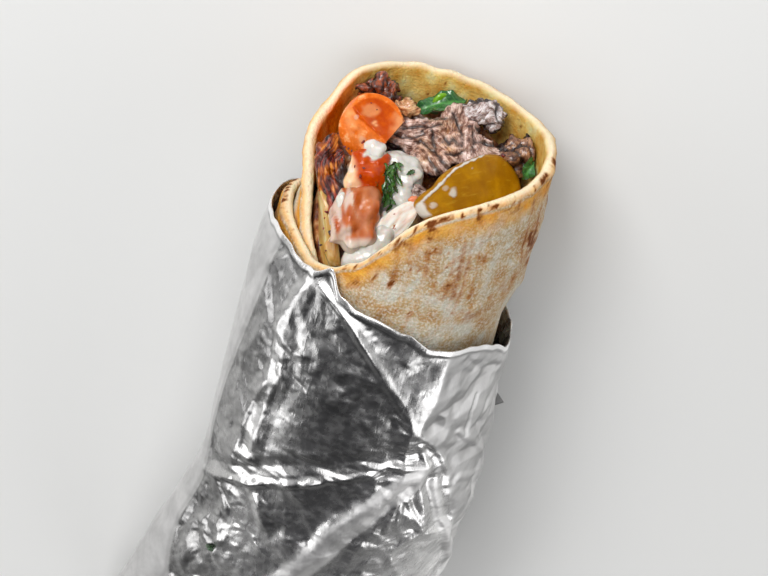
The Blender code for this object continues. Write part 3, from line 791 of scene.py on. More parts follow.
def bread_marks(angle, around, from_rim, over, x):
    """How toasted each point is, how golden, and whether it is on the inside of the roll."""
    outside = smooth_step(120, 60, over)
    blotch = 0.50 * soft_noise(around, x, 8, 101) + 0.30 * soft_noise(around, x, 3.4, 102)
    blotch += 0.25 * soft_noise(around, x, 1.4, 103)
    toast = 0.42 * smooth_step(0, 0.95, blotch)
    spots = smooth_step(0.5, 0.85, soft_noise(around, x, 1.8, 104))
    toast += 0.45 * spots * smooth_step(0, 0.5, soft_noise(around, x, 6, 105))
    dots = soft_noise(around, 0 * x, 1.2, 106) + 0.6 * soft_noise(around, over / 26, 1, 107)
    flap = smooth_step(-122, -108, angle) * smooth_step(12, -4, angle)
    outer_edge = smooth_step(-140, -155, angle)
    often = 0.35 * smooth_step(0, 0.6, soft_noise(around, 0 * x, 9, 108)) + flap + outer_edge
    browned = smooth_step(-0.2, 0.4, dots) * np.clip(often, 0, 1) + 0.35 * outer_edge
    toast = np.where((over > 0) & (over < 180), 0.15 * toast, toast)
    toast += 0.12 * outside * smooth_step(-40, -10, angle)
    toast += 0.8 * hill((over - 40) / 34) * browned
    flecks = smooth_step(0, 0.6, soft_noise(around, x, 1.4, 110))
    toast += 0.35 * outside * smooth_step(4, 0.5, from_rim) * flap * flecks
    gold = outside * smooth_step(8.5, 1, from_rim) * (0.85 + 0.35 * soft_noise(around, x, 3, 109))
    gold = gold * np.where(from_rim > 0, 1, smooth_step(5, 40, over))
    return np.clip(toast, 0, 1), np.clip(gold, 0, 1), 1 - outside


def make_flatbread():
    """Flatbread rolled almost one and a half times round the food, with a soft rounded rim."""
    share, over = bread_profile()
    angle = np.linspace(BREAD_OUTER_END, BREAD_INNER_END, 440)[None, :] + 0 * over
    over = over + 0 * angle
    around = (angle - BREAD_OUTER_END) * ROUND_MM
    rim = smooth_lookup(BREAD_RIM, angle)[..., 0] + 0.35 * soft_noise(around, 0 * around, 5, 111)
    rim += 1.1 * hill((angle + 113) / 3.5)
    thick = BREAD_THICK + 0.25 * soft_noise(around, 0 * around, 9, 112)
    side = (1 - np.cos(np.radians(over))) / 2
    crest = rim - thick / 2
    x = crest + (BREAD_BOTTOM - crest) * share + thick / 2 * np.sin(np.radians(over))
    free = smooth_step(-34, -22, x)
    bubbles = np.maximum(0, soft_noise(around, x, 5.5, 113)) ** 1.5 * 0.7
    dimples = 0.16 * soft_noise(around, x, 2.2, 114) + 0.07 * soft_noise(around, x, 0.9, 115)
    uneven = (0.15 + 0.85 * free) * dimples + free * bubbles * (over < 90)
    out = np.where(over < 90, 1, -1) * np.abs(np.cos(np.radians(over)))
    points = roll_point(x, angle, bread_inset(angle) + thick * side - out * uneven)
    rows, columns = points.shape[:2]
    faces = grid_faces(rows, columns, False)
    last = rows - 1
    for j in range(columns - 1):
        faces.append([last * columns + j, last * columns + j + 1, j + 1, j])
    for j in (0, columns - 1):
        for i in range(rows // 2):
            face = [row * columns + j for row in (i, i + 1, last - i - 1, last - i)]
            face = list(dict.fromkeys(face))
            if len(face) > 2:
                faces.append(face if j else face[::-1])
    toast, gold, inside = bread_marks(angle, around, np.maximum(crest - x, 0), over, x)
    seen = seen_from(points.reshape(-1, 3)).reshape(points.shape)
    scorch = 0
    for right, up, wide, high, brown in SCORCHED:
        scorch = np.maximum(scorch, brown * hill(away_seen(seen, right, up, wide, high)))
    broken = 0.5 + 0.6 * soft_noise(around, 1.6 * x, 1.1, 116) + 0.6 * soft_noise(around, 1.5 * x, 3.2, 118)
    # The marks added here are browning, and one tall strip of painted shade down the flap's right edge
    toast += (1 - inside) * scorch * np.clip(broken, 0.15, 1.1)
    for right, up, reach in INSIDE_SPOTS:
        toast += 0.8 * inside * hill(away_seen(seen, right, up, reach, 1.3 * reach))
    oily = smooth_step(-13, -21, seen[..., 0]) * smooth_step(-6, 4, seen[..., 1])
    add_piece(
        "flatbread_roll", points, faces, bread_finish(), "bread", "flatbread",
        oil=inside * oily * (0.75 + 0.4 * soft_noise(around, x, 4, 117)),
        toast=np.clip(toast, 0, 1), gold=gold, inside=inside,
        # Painted highlight: the top of the rounded rim whitened
        crest=0.8 * hill((over - 95) / 50) * (over > 0) * (over < 180),
    )


def bread_finish():
    """Flatbread: floury and pebbled outside, golden near the rim, yellower inside, browned in spots, with
    painted shade in brown down the flap's right edge and a painted highlight whitening the top of its rim.
    """
    finish = Finish("flatbread", (206, 188, 156), 0.65, scatter=(0.12, 1.5), shine=0.12)
    broad = finish.noise(7, detail=5)
    skin = finish.ramp(broad, (0.34, (158, 116, 64)), (0.47, (174, 148, 108)), (0.6, (184, 178, 162)))
    pebbles = finish.between(finish.noise(0.65, rough=0.6), 0.42, 0.64)
    skin = finish.mix(finish.times(pebbles, 0.5), skin, (222, 219, 210))
    warm = finish.ramp(finish.noise(3), (0.3, (210, 134, 34)), (0.7, (228, 174, 72)))
    base = finish.mix(finish.values("gold"), skin, warm)
    damp = finish.noise(5)
    damp = finish.ramp(damp, (0.35, (196, 142, 56)), (0.55, (214, 182, 104)), (0.7, (208, 200, 146)))
    base = finish.mix(finish.values("inside"), base, damp)
    base = finish.mix(finish.values("oil"), base, (232, 116, 4))
    # Painted highlight on the top of the rim
    base = finish.mix(finish.values("crest"), base, (250, 238, 208))
    uneven = finish.math("SUBTRACT", finish.noise(0.9), 0.5)
    # The toast values include the painted shade down the flap's right edge
    toasted = finish.plus(finish.values("toast"), finish.times(uneven, 0.5))
    brown = finish.ramp(toasted, (0.1, (200, 142, 62)), (0.4, (162, 98, 30)), (0.75, (104, 52, 10)))
    finish.set("Base Color", finish.mix(finish.between(toasted, 0.08, 0.75), base, brown))
    finish.bump(finish.noise(0.9, rough=0.6), 0.5, 0.8)
    finish.bump(finish.cells(0.7), 0.2, 0.6)
    return finish


# Food in the mouth


def rounded_disc(half_width, half_height, thick, rings=26, around=144):
    """Slice with a soft edge: corners and faces, flat side toward +Z."""
    soft = 0.14
    edge = 1 - soft + soft * np.sin(np.linspace(0.2, math.pi / 2, 7))
    shares = np.concatenate([np.linspace(0.04, 1 - soft, rings), edge])
    into_edge = np.maximum(shares - 1 + soft, 0) / soft
    heights = thick / 2 * np.sqrt(np.clip(1 - into_edge**2, 0, 1))
    turn = np.linspace(0, 2 * math.pi, around, endpoint=False)
    shares = np.concatenate([shares, shares[-2::-1]])[:, None]
    heights = np.concatenate([heights, -heights[-2::-1]])[:, None]
    x = half_width * shares * np.cos(turn)
    y = half_height * shares * np.sin(turn)
    points = np.stack([x, y, heights + 0 * x], -1)
    faces = grid_faces(len(shares), around, True)
    last = (len(shares) - 1) * around
    faces.append(list(range(around))[::-1])
    faces.append(list(range(last, last + around)))
    return points.reshape(-1, 3), faces


def dice(size, roughness, grain, seed):
    """Diced piece: a box with rounded edges and uneven faces."""
    bm = bmesh.new()
    bmesh.ops.create_cube(bm, size=1)
    bmesh.ops.subdivide_edges(bm, edges=bm.edges, cuts=22, use_grid_fill=True)
    unit, faces = taken_from(bm)
    outward = unit / np.linalg.norm(unit, axis=1)[:, None]
    squarish = unit + (outward * 0.62 - unit) * 0.55
    points = squarish * np.array(size)
    rough = roughness * noise_at(points, grain, seed, (5.3, 2.9, 3.7))
    return points + outward * rough[:, None], faces


def between_grids(top, under):
    """Closed shape between two grids of points."""
    rows, columns = top.shape[:2]
    count = rows * columns
    faces = grid_faces(rows, columns, False)
    faces += [[index + count for index in face[::-1]] for face in faces]
    rim = [i * columns for i in range(rows)] + [(rows - 1) * columns + j for j in range(1, columns)]
    rim += [i * columns + columns - 1 for i in range(rows - 2, -1, -1)] + list(range(columns - 2, 0, -1))
    for a, b in zip(rim, rim[1:] + rim[:1]):
        faces.append([b, a, a + count, b + count])
    return np.concatenate([top.reshape(-1, 3), under.reshape(-1, 3)]), faces


def bent_sheet(length, width, thick, shape, columns, rows):
    """Thin piece along the view's right, bent by shape(along, across), with a soft edge."""
    along, across = np.meshgrid(np.linspace(-1, 1, columns), np.linspace(-1, 1, rows), indexing="ij")
    middle = shape(along, across, length / 2, width / 2)
    normal = np.cross(np.gradient(middle, axis=0), np.gradient(middle, axis=1))
    normal = normal / np.linalg.norm(normal, axis=-1, keepdims=True)
    edge = np.maximum(np.abs(along) ** 6, np.abs(across) ** 4)
    half = thick / 2 * np.sqrt(np.clip(1.03 - edge, 0.03, 1))[..., None]
    return between_grids(middle + half * normal, middle - half * normal)


def wavy_leaf(along, across, reach, half_width):
    """Leaf: pointed outline, a waved rim and a fold along its middle."""
    outline = np.sqrt(np.maximum(1 - along * along, 0.02))
    rise = 0.9 * np.sin(5 * along) * across + 1.2 * np.abs(across) - 1.5 * along * along
    rise += 0.35 * np.sin(13 * along + 1) * across**2
    return np.stack([along * reach, across * half_width * outline, rise], -1)


def curved_strip(along, across, reach, half_width):
    """Strip that is cupped across and arched along."""
    taper = 1 - 0.35 * along * along
    rise = -1.4 * across * across - 2.2 * along * along
    return np.stack([along * reach, across * half_width * taper, rise], -1)


def limp_leaf(along, across, reach, half_width):
    """Pale leaf that follows the inside of the roll."""
    taper = (0.75 + 0.25 * np.cos(2 * along)) * np.sqrt(np.maximum(1 - along**6, 0.05))
    rise = -2.5 * along * along + 0.5 * np.sin(4 * along + 1) * across
    return np.stack([along * reach, across * half_width * taper, rise], -1)


def smears(seen, spots, seed):
    """How thick sauce lies at each point: soft ragged spots given by right, up, reach, share."""
    ragged = 0.45 * noise_at(seen * FLAT, 1.3, seed)
    total = np.zeros(len(seen))
    for right, up, reach, share in spots:
        away = away_seen(seen, right, up) / reach
        total = np.maximum(total, share * smooth_step(1.15, 0.45, away + ragged))
    return total


SAUCE_COLOUR = (208, 201, 190)


def under_sauce(finish, colour):
    """The finish's colour with white sauce wherever the piece's own numbers say so."""
    film = finish.values("sauce")
    finish.set("Base Color", finish.mix(finish.between(film, 0.1, 0.75), colour, SAUCE_COLOUR))
    finish.bump(finish.between(film, 0, 1), 0.5, 0.6)


# Pickle slice: outline as angle in its own face and share of an oval, the upper edge along which a thin
# painted highlight runs in the sauce's colour, and smears of sauce as right, up, reach, share
PICKLE_OUTLINE = (
    (-150, 1.05), (-90, 1), (-4, 1.06), (18, 1.06), (43, 1.08), (64, 0.96), (84, 0.83), (106, 0.78),
    (146, 0.78), (177, 1.08),
)
PICKLE_EDGE = ((-2, -10.4), (3.2, -5.6), (7.3, -1.3), (10.4, 0.5), (14.5, 2.4))
PICKLE_SMEARS = (
    (-1.2, -12, 2.6, 0.9), (2, -10.4, 1.2, 0.5), (6.8, -7, 1.4, 0.6), (5, -6.2, 1, 0.4),
    (11.6, -1, 0.4, 0.4),
)


def make_pickle():
    """Long slice of pickle with sauce smeared over its lower left and a thin painted highlight along its
    upper edge.
    """
    place = laid(11.7, -6.6, 2.6, turn=19, lean=12, swing=24)
    half = (14.2, 9.4)
    points, faces = rounded_disc(*half, 3.6)
    points = outlined(points, half, PICKLE_OUTLINE)
    points[:, 2] -= 0.012 * points[:, 0] ** 2
    points[:, 2] += 0.22 * noise_at(points * FLAT, 3.5, 201)
    points = fitted(place, points)
    seen = seen_from(points)
    edge = away_from(PICKLE_EDGE, seen[:, 0], seen[:, 1])
    # Painted highlight: a thin pale line along the upper edge, in the sauce's colour
    line = 0.8 * smooth_step(0.5, 0.1, edge + 0.35 * noise_at(points, 1.2, 203))
    sauce = np.maximum(smears(seen, PICKLE_SMEARS, 202), line)
    add_piece("pickle", points, faces, pickle_finish(place), "pickle", "pickle_slice", sauce=sauce)


def pickle_finish(place):
    """Mustard-green flesh, wet and faintly mottled."""
    finish = Finish("pickle", (176, 118, 2), 0.3, scatter=(0.1, 2), shine=0.2)
    cloudy = finish.noise(4, place)
    colour = finish.ramp(cloudy, (0.3, (144, 94, 0)), (0.55, (162, 110, 0)), (0.75, (182, 130, 4)))
    veins = finish.between(finish.noise((5, 0.9, 0.9), place, detail=3), 0.56, 0.7, 0, 0.35)
    under_sauce(finish, finish.mix(veins, colour, (190, 150, 40)))
    finish.bump(finish.noise(1.1, place), 0.15, 0.5)
    return finish


# Muscle bundles of the large slice: right, up, direction of the fibres, how far they stand out
BUNDLES = (
    (-3, 11.8, 7, 0.3), (-5, 6.6, -10, 0), (0.6, 1.4, -54, 0.6), (5.2, 4.8, -46, 0.5),
    (7.6, 11, 76, 0.4), (10.6, 6, 86, 0.5), (16, 6.4, -12, -0.1),
)

# Clefts between its bundles, sunk and darkened with painted shade: right, up along each
CLEFTS = (
    ((2, 8.4), (2.3, 5.6), (2.7, 3.1), (4.2, 0.9), (5.8, -0.7)),
    ((-5.6, 9.6), (-2.1, 9.9), (1.7, 9.8), (4.2, 10.4)),
    ((-2.1, 5.6), (-0.9, 6.3), (0.4, 5), (2, 3.4)),
    ((-7.9, 8.8), (-5.6, 7.2), (-3.4, 7.2), (-0.2, 7.9)),
    ((7.1, 13.6), (8, 11.7), (8.7, 9.4), (9.4, 7.2), (9.2, 5)),
    ((12.2, 8.7), (12.5, 6.3), (11.8, 3.4)),
    ((4.8, 7.2), (6.1, 5.3), (7.1, 6.6), (8, 5)),
    ((12.2, 6), (15, 6.3), (18.2, 5.3), (21.4, 4.4)),
    ((0.4, 2.1), (2, 0.2), (3.6, -2)),
    ((-3.4, 12.4), (0.6, 12.6), (5.4, 12)),
    ((5, 3), (7.6, 2.6), (9.6, 3.6)),
)

# Golden-brown parts of the beef: right, up, reach
WARM_SPOTS = (
    (6.4, 9.6, 3.2), (1, 2.4, 3), (-0.4, 5.8, 2), (5.8, 4, 2.6), (18, 6.6, 1), (21.6, 4, 1.4),
    (-8.6, 6.4, 1.2),
)


def meat_relief(seen, bundles, clefts, seed):
    """Strands along the bundles: relief in mm, how deep in a cleft, and places along and across."""
    warp = 0.5 * np.stack([noise_at(seen, 1.6, seed + 1), noise_at(seen, 1.6, seed + 2)], -1)
    flat = seen[:, :2] + warp
    near = np.stack([np.exp(-(away_seen(flat, *b[:2]) ** 2) / 7) + 1e-9 for b in bundles])
    near = near / near.sum(0)
    origin = np.mean([b[:2] for b in bundles], axis=0)
    along, across, stand = 0, 0, 0
    for share, (_, _, turn, height) in zip(near, bundles):
        turn = math.radians(turn)
        du, dv = (seen[:, :2] - origin).T
        along += share * (du * math.cos(turn) + dv * math.sin(turn))
        across += share * (dv * math.cos(turn) - du * math.sin(turn))
        stand += share * height
    strand = noise_at(np.stack([along / 6, across / 1.1, seen[:, 2] / 3], -1), 1, seed + 3)
    uneven = noise_at(seen, 3, seed + 4)
    cleft = np.zeros(len(seen))
    for line in clefts:
        cleft = np.maximum(cleft, hill(away_from(line, flat[:, 0], flat[:, 1]) / 0.42))
    relief = stand + 0.12 * strand + 0.45 * uneven - 0.7 * cleft
    return relief, cleft, along, across


def add_meat(finish, node, place, part, bundles, clefts, seed, char=0, slot="beef"):
    """Piece of meat with strands raised along its bundles and a ragged, charred edge."""
    local, faces = part
    points = placed(place, local)
    normal = outward_of(points, faces)
    relief, cleft, along, across = meat_relief(seen_from(points), bundles, clefts, seed)
    side = 1 - np.abs(normal @ np.array(place)[:3, 2])
    ragged = noise_at(points, 1.1, seed + 5)
    points = kept_inside(points + normal * (relief + (0.2 + side) * ragged - 0.2)[:, None])
    seen = seen_from(points)
    charred = 0.7 * noise_at(points, 3.4, seed + 6) + 0.5 * noise_at(points, 1.2, seed + 7) + char
    tip = smooth_step(2.6, 0.4, away_seen(seen, -8.4, 7, 1, 1.6)) * (seen[:, 0] > -12)
    charred += 0.8 * smooth_step(0.3, 0.9, side) + 0.5 * tip
    warm = 0
    for right, up, reach in WARM_SPOTS:
        warm = np.maximum(warm, hill(away_seen(seen, right, up) / reach))
    add_piece(
        finish.material.name, points, faces, finish, slot, node,
        warm=warm, cleft=cleft, char=np.clip(charred, 0, 1), along=along, across=across,
    )


def meat_finish(name, pale=(224, 194, 182), middle=(148, 106, 88), dark=(76, 42, 32), char=(36, 18, 20)):
    """Roast meat: greyed brown strands, clefts darkened with painted shade and charred, glossy edges."""
    finish = Finish(name, middle, 0.3, scatter=(0.08, 1), coat=(0.5, 0.14))
    strands = finish.strands(7, 0.8, 2)
    fine = finish.strands(1.6, 0.3, 6)
    mixed = finish.plus(finish.times(strands, 0.25), finish.times(fine, 0.3))
    mixed = finish.plus(mixed, finish.times(finish.noise(1.7, detail=5, rough=0.65), 0.45))
    colour = finish.ramp(mixed, (0.41, dark), (0.475, middle), (0.55, pale))
    patchy = finish.between(finish.noise(2.2, detail=3), 0.35, 0.6, 0.3, 0.95)
    golden = finish.ramp(mixed, (0.42, (96, 50, 18)), (0.49, (156, 98, 50)), (0.56, (210, 164, 116)))
    colour = finish.mix(finish.times(finish.values("warm"), patchy), colour, golden)
    charred = finish.between(finish.plus(finish.values("char"), finish.times(mixed, 0.3)), 0.38, 0.85)
    colour = finish.mix(charred, colour, char)
    # Painted shade in the clefts
    finish.set("Base Color", finish.mix(finish.values("cleft"), colour, (34, 14, 10)))
    finish.set("Roughness", finish.between(mixed, 0.42, 0.56, 0.42, 0.16))
    finish.bump(mixed, 0.35, 0.8)
    finish.bump(finish.noise(0.45, detail=3), 0.3, 0.8)
    return finish


# Silhouette of the large slice in its own face: angle, share of the plain lump
SLICE_OUTLINE = (
    (-150, 0.84), (-136, 0.74), (-112, 1.08), (-96, 1.16), (-80, 1.05), (-45, 1), (-20, 1.03),
    (-2, 0.80), (28, 0.66), (58, 0.90), (80, 0.97), (95, 0.86), (122, 0.82), (155, 0.90), (180, 0.98),
)


def make_beef():
    """The large slice, the chunks beside it and the crisp and pale bits behind the tomato."""
    size = (33, 17, 7.5)
    points, faces = lump(size, 3, 5.5, 11, detail=6)
    part = outlined(points, size, SLICE_OUTLINE), faces
    place = laid(4.2, 7, -6.8, turn=-6, lean=22)
    add_meat(meat_finish("beef_large"), "beef_slice", place, part, BUNDLES, CLEFTS, 210)
    add_meat(
        meat_finish("beef_chunk", (228, 220, 220), (160, 138, 132), (80, 50, 40)), "beef_end",
        laid(15.4, 13.2, -9.4, turn=-12), lump((11.4, 7.4, 7.5), 1.3, 3.5, 5),
        ((11, 13, 30, 0.3), (15.5, 12.5, 60, 0.5), (20, 13, -20, 0.2)),
        (((11, 11.4), (14, 10.2), (17.4, 10.6)), ((18.6, 15.4), (18.2, 12.4), (18.8, 10.8))), 220, 0.05,
    )
    add_meat(
        meat_finish("beef_dark", (176, 130, 96), (104, 64, 44), (50, 24, 18)), "beef_right",
        laid(24, 2.8, -8, turn=10), lump((12.5, 8, 8), 2.4, 3.5, 6),
        ((20, 2, 20, 0.2), (24.5, 3.5, 50, 0.4), (28, 3, 80, 0.2)),
        (((20, 4.4), (23, 3.4), (25, 0.6)), ((25.6, 5), (27, 2.6))), 230, 0.1,
    )
    add_meat(
        meat_finish("beef_crust", (168, 80, 40), (92, 36, 16), (36, 10, 6), (24, 10, 10)), "beef_crisp",
        laid(-11.6, 19, -12, turn=-8), lump((11.5, 7, 7), 3.4, 2.6, 7),
        ((-15, 18, 20, 0.2), (-10.5, 20, 80, 0.6), (-7.5, 18, -40, 0.2)),
        (((-14, 21), (-12.4, 18)), ((-9.4, 22), (-9, 18))), 240,
    )
    add_meat(
        meat_finish("beef_fatty", (224, 180, 134), (178, 118, 70), (116, 62, 30)), "beef_pale",
        laid(-4.7, 14.8, -9.4), lump((6, 5, 6), 1.6, 2.8, 8),
        ((-6, 15, -40, 0.3), (-3.5, 14.5, 30, 0.2)), (), 250, -0.6, "beef_fat",
    )


def make_shreds():
    """Dark glossy shreds at the left, drawn out into threads."""
    layout = (
        (-24.5, 3.4, -1, 62, 9.5), (-23, -1, 1, 118, 13), (-20.5, -3.5, 2, 95, 15),
        (-26, -1.5, 0.5, 80, 14), (-22.5, -8, 2.5, 105, 12),
    )
    parts = []
    for number, (right, up, toward, turn, length) in enumerate(layout):
        points, faces = lump((length, 4.4, 4.6), 1.8, 2.6, 20 + number, detail=4)
        parts.append((placed(laid(right, up, toward, turn=turn), points), faces))
        for extra in range(2):
            side = 1.5 - 3 * extra
            points, faces = lump((0.8 * length, 1.1, 1.1), 0.5, 1.5, 60 + 3 * number + extra, detail=3)
            points[:, 1] += 0.9 * np.sin(points[:, 0] * 0.5 + number)
            place = laid(right + 0.6 * side, up + 0.4 * side, toward + 1.9, turn=turn + 9 * side)
            parts.append((placed(place, points), faces))
    points, faces = fused(parts, 0.32, 2)
    normal = outward_of(points, faces)
    bundles = tuple((right, up, turn, 0.2) for right, up, _, turn, _ in layout)
    relief, cleft, along, across = meat_relief(seen_from(points), bundles, (), 260)
    points = kept_inside(points + normal * (0.8 * relief - 0.1)[:, None])
    right, up = seen_from(points)[:, :2].T
    # Painted shade: the dark gap between the shreds, painted with the clefts
    gap = smooth_step(-22.4, -20.6, right) * smooth_step(-8.5, -6.5, up) * smooth_step(1.5, -0.5, up)
    gold = smooth_step(-0.1, 0.4, noise_at(points, 3, 261) - 0.05 * (right + 22))
    add_piece(
        "beef_threads", points, faces, shred_finish(), "beef", "beef_shreds",
        along=along, across=across, cleft=np.maximum(cleft, gap), gold=gold,
    )


def shred_finish():
    """Sticky dark-red meat with golden-brown fat on its threads, and painted shade in its clefts and in the
    gap between them.
    """
    finish = Finish("beef_threads", (110, 34, 18), 0.18, scatter=(0.1, 1))
    strands = finish.strands(6, 0.8, 3)
    dark = finish.ramp(strands, (0.38, (22, 2, 1)), (0.5, (84, 12, 5)), (0.64, (158, 54, 26)))
    gold = finish.ramp(strands, (0.38, (70, 22, 4)), (0.5, (158, 72, 12)), (0.62, (214, 136, 50)))
    colour = finish.mix(finish.values("gold"), dark, gold)
    # Painted shade in the clefts and the gap
    finish.set("Base Color", finish.mix(finish.values("cleft"), colour, (30, 3, 2)))
    finish.bump(finish.strands(3, 0.35, 5), 0.4, 0.8)
    return finish


def tomato_finish(name, place, skin=(232, 118, 36), flesh=(206, 88, 0), pale=(240, 176, 118)):
    """Ripe tomato: wet flesh, clearer round the seeds and paler toward its core; its pale values also carry a
    painted highlight on the wedge's skin.
    """
    finish = Finish(name, flesh, 0.16, scatter=(0.2, 2), shine=0.3)
    finish.set("Subsurface Radius", (1, 0.35, 0.08))
    cloudy = finish.noise(2.6, place, detail=5, rough=0.6)
    dark_skin, dark_flesh = ([max(channel - 26, 0) for channel in colour] for colour in (skin, flesh))
    ripe = finish.ramp(cloudy, (0.35, dark_skin), (0.55, skin), (0.68, (250, 184, 124)))
    cut = finish.ramp(cloudy, (0.35, dark_flesh), (0.65, flesh))
    colour = finish.mix(finish.values("cut"), ripe, cut)
    under_sauce(finish, finish.mix(finish.values("pale"), colour, pale))
    finish.bump(finish.noise(1.2, place, detail=3), 0.25, 0.6)
    return finish


def make_tomato_wedge():
    """Wedge of tomato: two faces that meet along an edge, with a clear seed chamber in one."""
    place = laid(-13.2, 9.4, -4.5, turn=20)
    points, faces = lump((17, 17.6, 17), 0.8, 9, 3, detail=6)
    ridge = (0, 0, 5.2)
    flats = ((ridge, (0.36, 0.16, 0.92)), (ridge, (-0.5, -0.2, 0.84)), ((2.6, -4.4, 0), (0.5, -0.86, 0)))
    for edge, normal in flats * 2:
        normal = np.array(normal) / np.linalg.norm(normal)
        beyond = np.maximum((points - np.array(edge)) @ normal, 0)
        points -= beyond[:, None] * normal
    points[:, 2] -= 0.7 * hill(away_seen(points, 2.2, 1.6, 2.6, 3.2)) * (points[:, 2] > 2)
    points[:, 2] += 0.12 * noise_at(points, 1.6, 301) * (points[:, 2] > 1)
    points = fitted(place, points)
    seen = seen_from(points)
    right, up = seen[:, :2].T
    cut = smooth_step(-0.3, 0.3, up - np.interp(right, (-18.7, -16.6, -11.2, -9), (15.4, 11.6, 7.1, 5.6)))
    cut = cut * smooth_step(17.2, 16.6, up + 0.10 * (right + 13) ** 2)
    ragged = noise_at(points, 1.4, 304)
    clear = smooth_step(1.2, 0.6, away_seen(seen, -13.5, 13.6, 2.3, 1.9) + 0.35 * ragged)
    seeds = 0
    for spot in ((-12.9, 10.4), (-12.2, 9.9), (-12.4, 10.8)):
        seeds += hill(away_seen(seen, *spot, 0.42, 0.32))
    rim = smooth_step(-9.5, -6.5, right - 0.2 * (up - 9) + ragged)
    # Painted highlight: a broad pale band on the skin
    sheen = hill(away_from(((-18.8, 12.6), (-17.6, 8.4), (-14, 5.4)), right, up) / 1.5)
    pale = cut * (0.6 * rim + 0.45 * clear + 0.9 * seeds)
    pale += (1 - cut) * sheen * (0.5 + 0.7 * noise_at(points, 1.8, 302))
    sauce = smears(seen, ((-12.2, 3, 2.6, 1), (-15.5, 6.5, 1.2, 0.3), (-17, 12, 0.8, 0.35)), 303)
    add_piece(
        "tomato_quarter", points, faces, tomato_finish("tomato_quarter", place), "tomato", "tomato_wedge",
        cut=cut, pale=np.clip(pale, 0, 1), sauce=sauce,
    )


def make_tomato_dice():
    """Two diced pieces below the wedge, under a thin film of sauce."""
    place = laid(-14.8, -3, 2.6, turn=-12, swing=-10)
    points, faces = dice((8.8, 11.6, 8), 2, 4, 2)
    points = fitted(place, points)
    finish = tomato_finish("tomato_upper", place, (196, 78, 6), (196, 78, 0), (232, 190, 148))
    seen = seen_from(points)
    pale = seen[:, 0] + 0.25 * (seen[:, 1] + 3) + 0.7 * noise_at(points, 1.8, 311)
    pale = smooth_step(-15.8, -17.8, pale)
    sauce = smears(seen, ((-12.4, 3.2, 3.2, 1), (-18.5, -1.5, 1.2, 0.5), (-18.6, -5, 0.9, 0.4)), 312)
    values = {"cut": 1, "pale": pale, "sauce": sauce}
    add_piece("tomato_upper", points, faces, finish, "tomato", "tomato_chunk", **values)
    place = laid(-17.2, -13.8, 6.6, turn=-14, lean=-8)
    points, faces = dice((10.2, 14, 8.4), 2.2, 4, 4)
    points = fitted(place, points)
    finish = tomato_finish("tomato_lower", place, (178, 84, 22), (178, 84, 22), (206, 138, 96))
    seen = seen_from(points)
    streak = noise_at(seen * FLAT / np.array((1.4, 5, 1)), 1, 313)
    sauce = smooth_step(-0.15, 0.5, streak + 0.12 * (-17.5 - seen[:, 0])) * 0.5
    low = smooth_step(-16.5, -20.5, seen[:, 1] + 0.8 * noise_at(points, 3, 314))
    sauce = np.maximum(sauce, 0.6 * low)
    pale = np.clip(0.35 + 0.8 * streak, 0, 1)
    values = {"cut": 1, "pale": pale, "sauce": sauce}
    add_piece("tomato_lower", points, faces, finish, "tomato", "tomato_piece", **values)


def make_sauce():
    """White sauce pooled between the pieces, with drips."""
    parts = []
    blobs = (
        ((15, 26, 9), laid(-7.6, -9.4, -0.4, turn=-8), 1.8, 7, 31),
        ((17, 8, 7), laid(-13.6, -21.2, 5, turn=38), 1.2, 5, 32),
        ((5.6, 5.2, 3.4), laid(-12.6, 3.6, 4.6), 0.8, 2.5, 34),
        ((4.4, 6, 3), laid(-4.6, -3.6, 3.2, turn=20), 0.8, 2.5, 35),
        ((5.6, 3, 2.6), laid(-3.4, -1.6, 2.6, turn=-30), 0.8, 2.5, 36),
        ((2.6, 9, 2.6), laid(-11, -16, 6.4, turn=-12), 0.6, 2.5, 37),
        ((2.6, 5, 2.2), laid(-20.6, -9, 8.2, turn=-10), 0.5, 2.5, 38),
    )
    for size, place, roughness, grain, seed in blobs:
        points, faces = lump(size, roughness, grain, seed, detail=4)
        parts.append((placed(place, points), faces))
    points, faces = fused(parts, 0.34, 8)
    relief = 0.35 * noise_at(points, 2.4, 321) + 0.10 * noise_at(points, 0.9, 322)
    points = kept_inside(points + outward_of(points, faces) * relief[:, None])
    add_piece("sauce_pool", points, faces, sauce_finish(), "sauce", "sauce")


def sauce_finish():
    """Creamy garlic sauce, glossy and a little clear where it is thin."""
    finish = Finish("sauce", SAUCE_COLOUR, 0.2, scatter=(0.35, 2), coat=(0.4, 0.1))
    cloudy = finish.noise(3, detail=3)
    colour = finish.ramp(cloudy, (0.35, (196, 192, 182)), (0.6, (212, 209, 202)), (0.8, (221, 219, 214)))
    finish.set("Base Color", colour)
    finish.bump(finish.noise(0.7, detail=3), 0.12, 0.4)
    return finish


def blade(length, width, bend):
    """One narrow leaflet: folded along its middle, pointed and bent over."""
    along = np.linspace(0, 1, 9)
    half = width / 2 * np.sin(np.pi * along**0.7) ** 0.8 + 0.06
    half = half * (1 + 0.22 * np.sin(along * 22))
    rows = []
    for share, reach in zip(along, half):
        rise = bend * share * share
        rows.append([(side * reach, share * length, rise + 0.25 * reach * abs(side)) for side in (-1, 0, 1)])
    top = np.array(rows)
    return between_grids(top, top - np.array((0, 0, 0.12)))


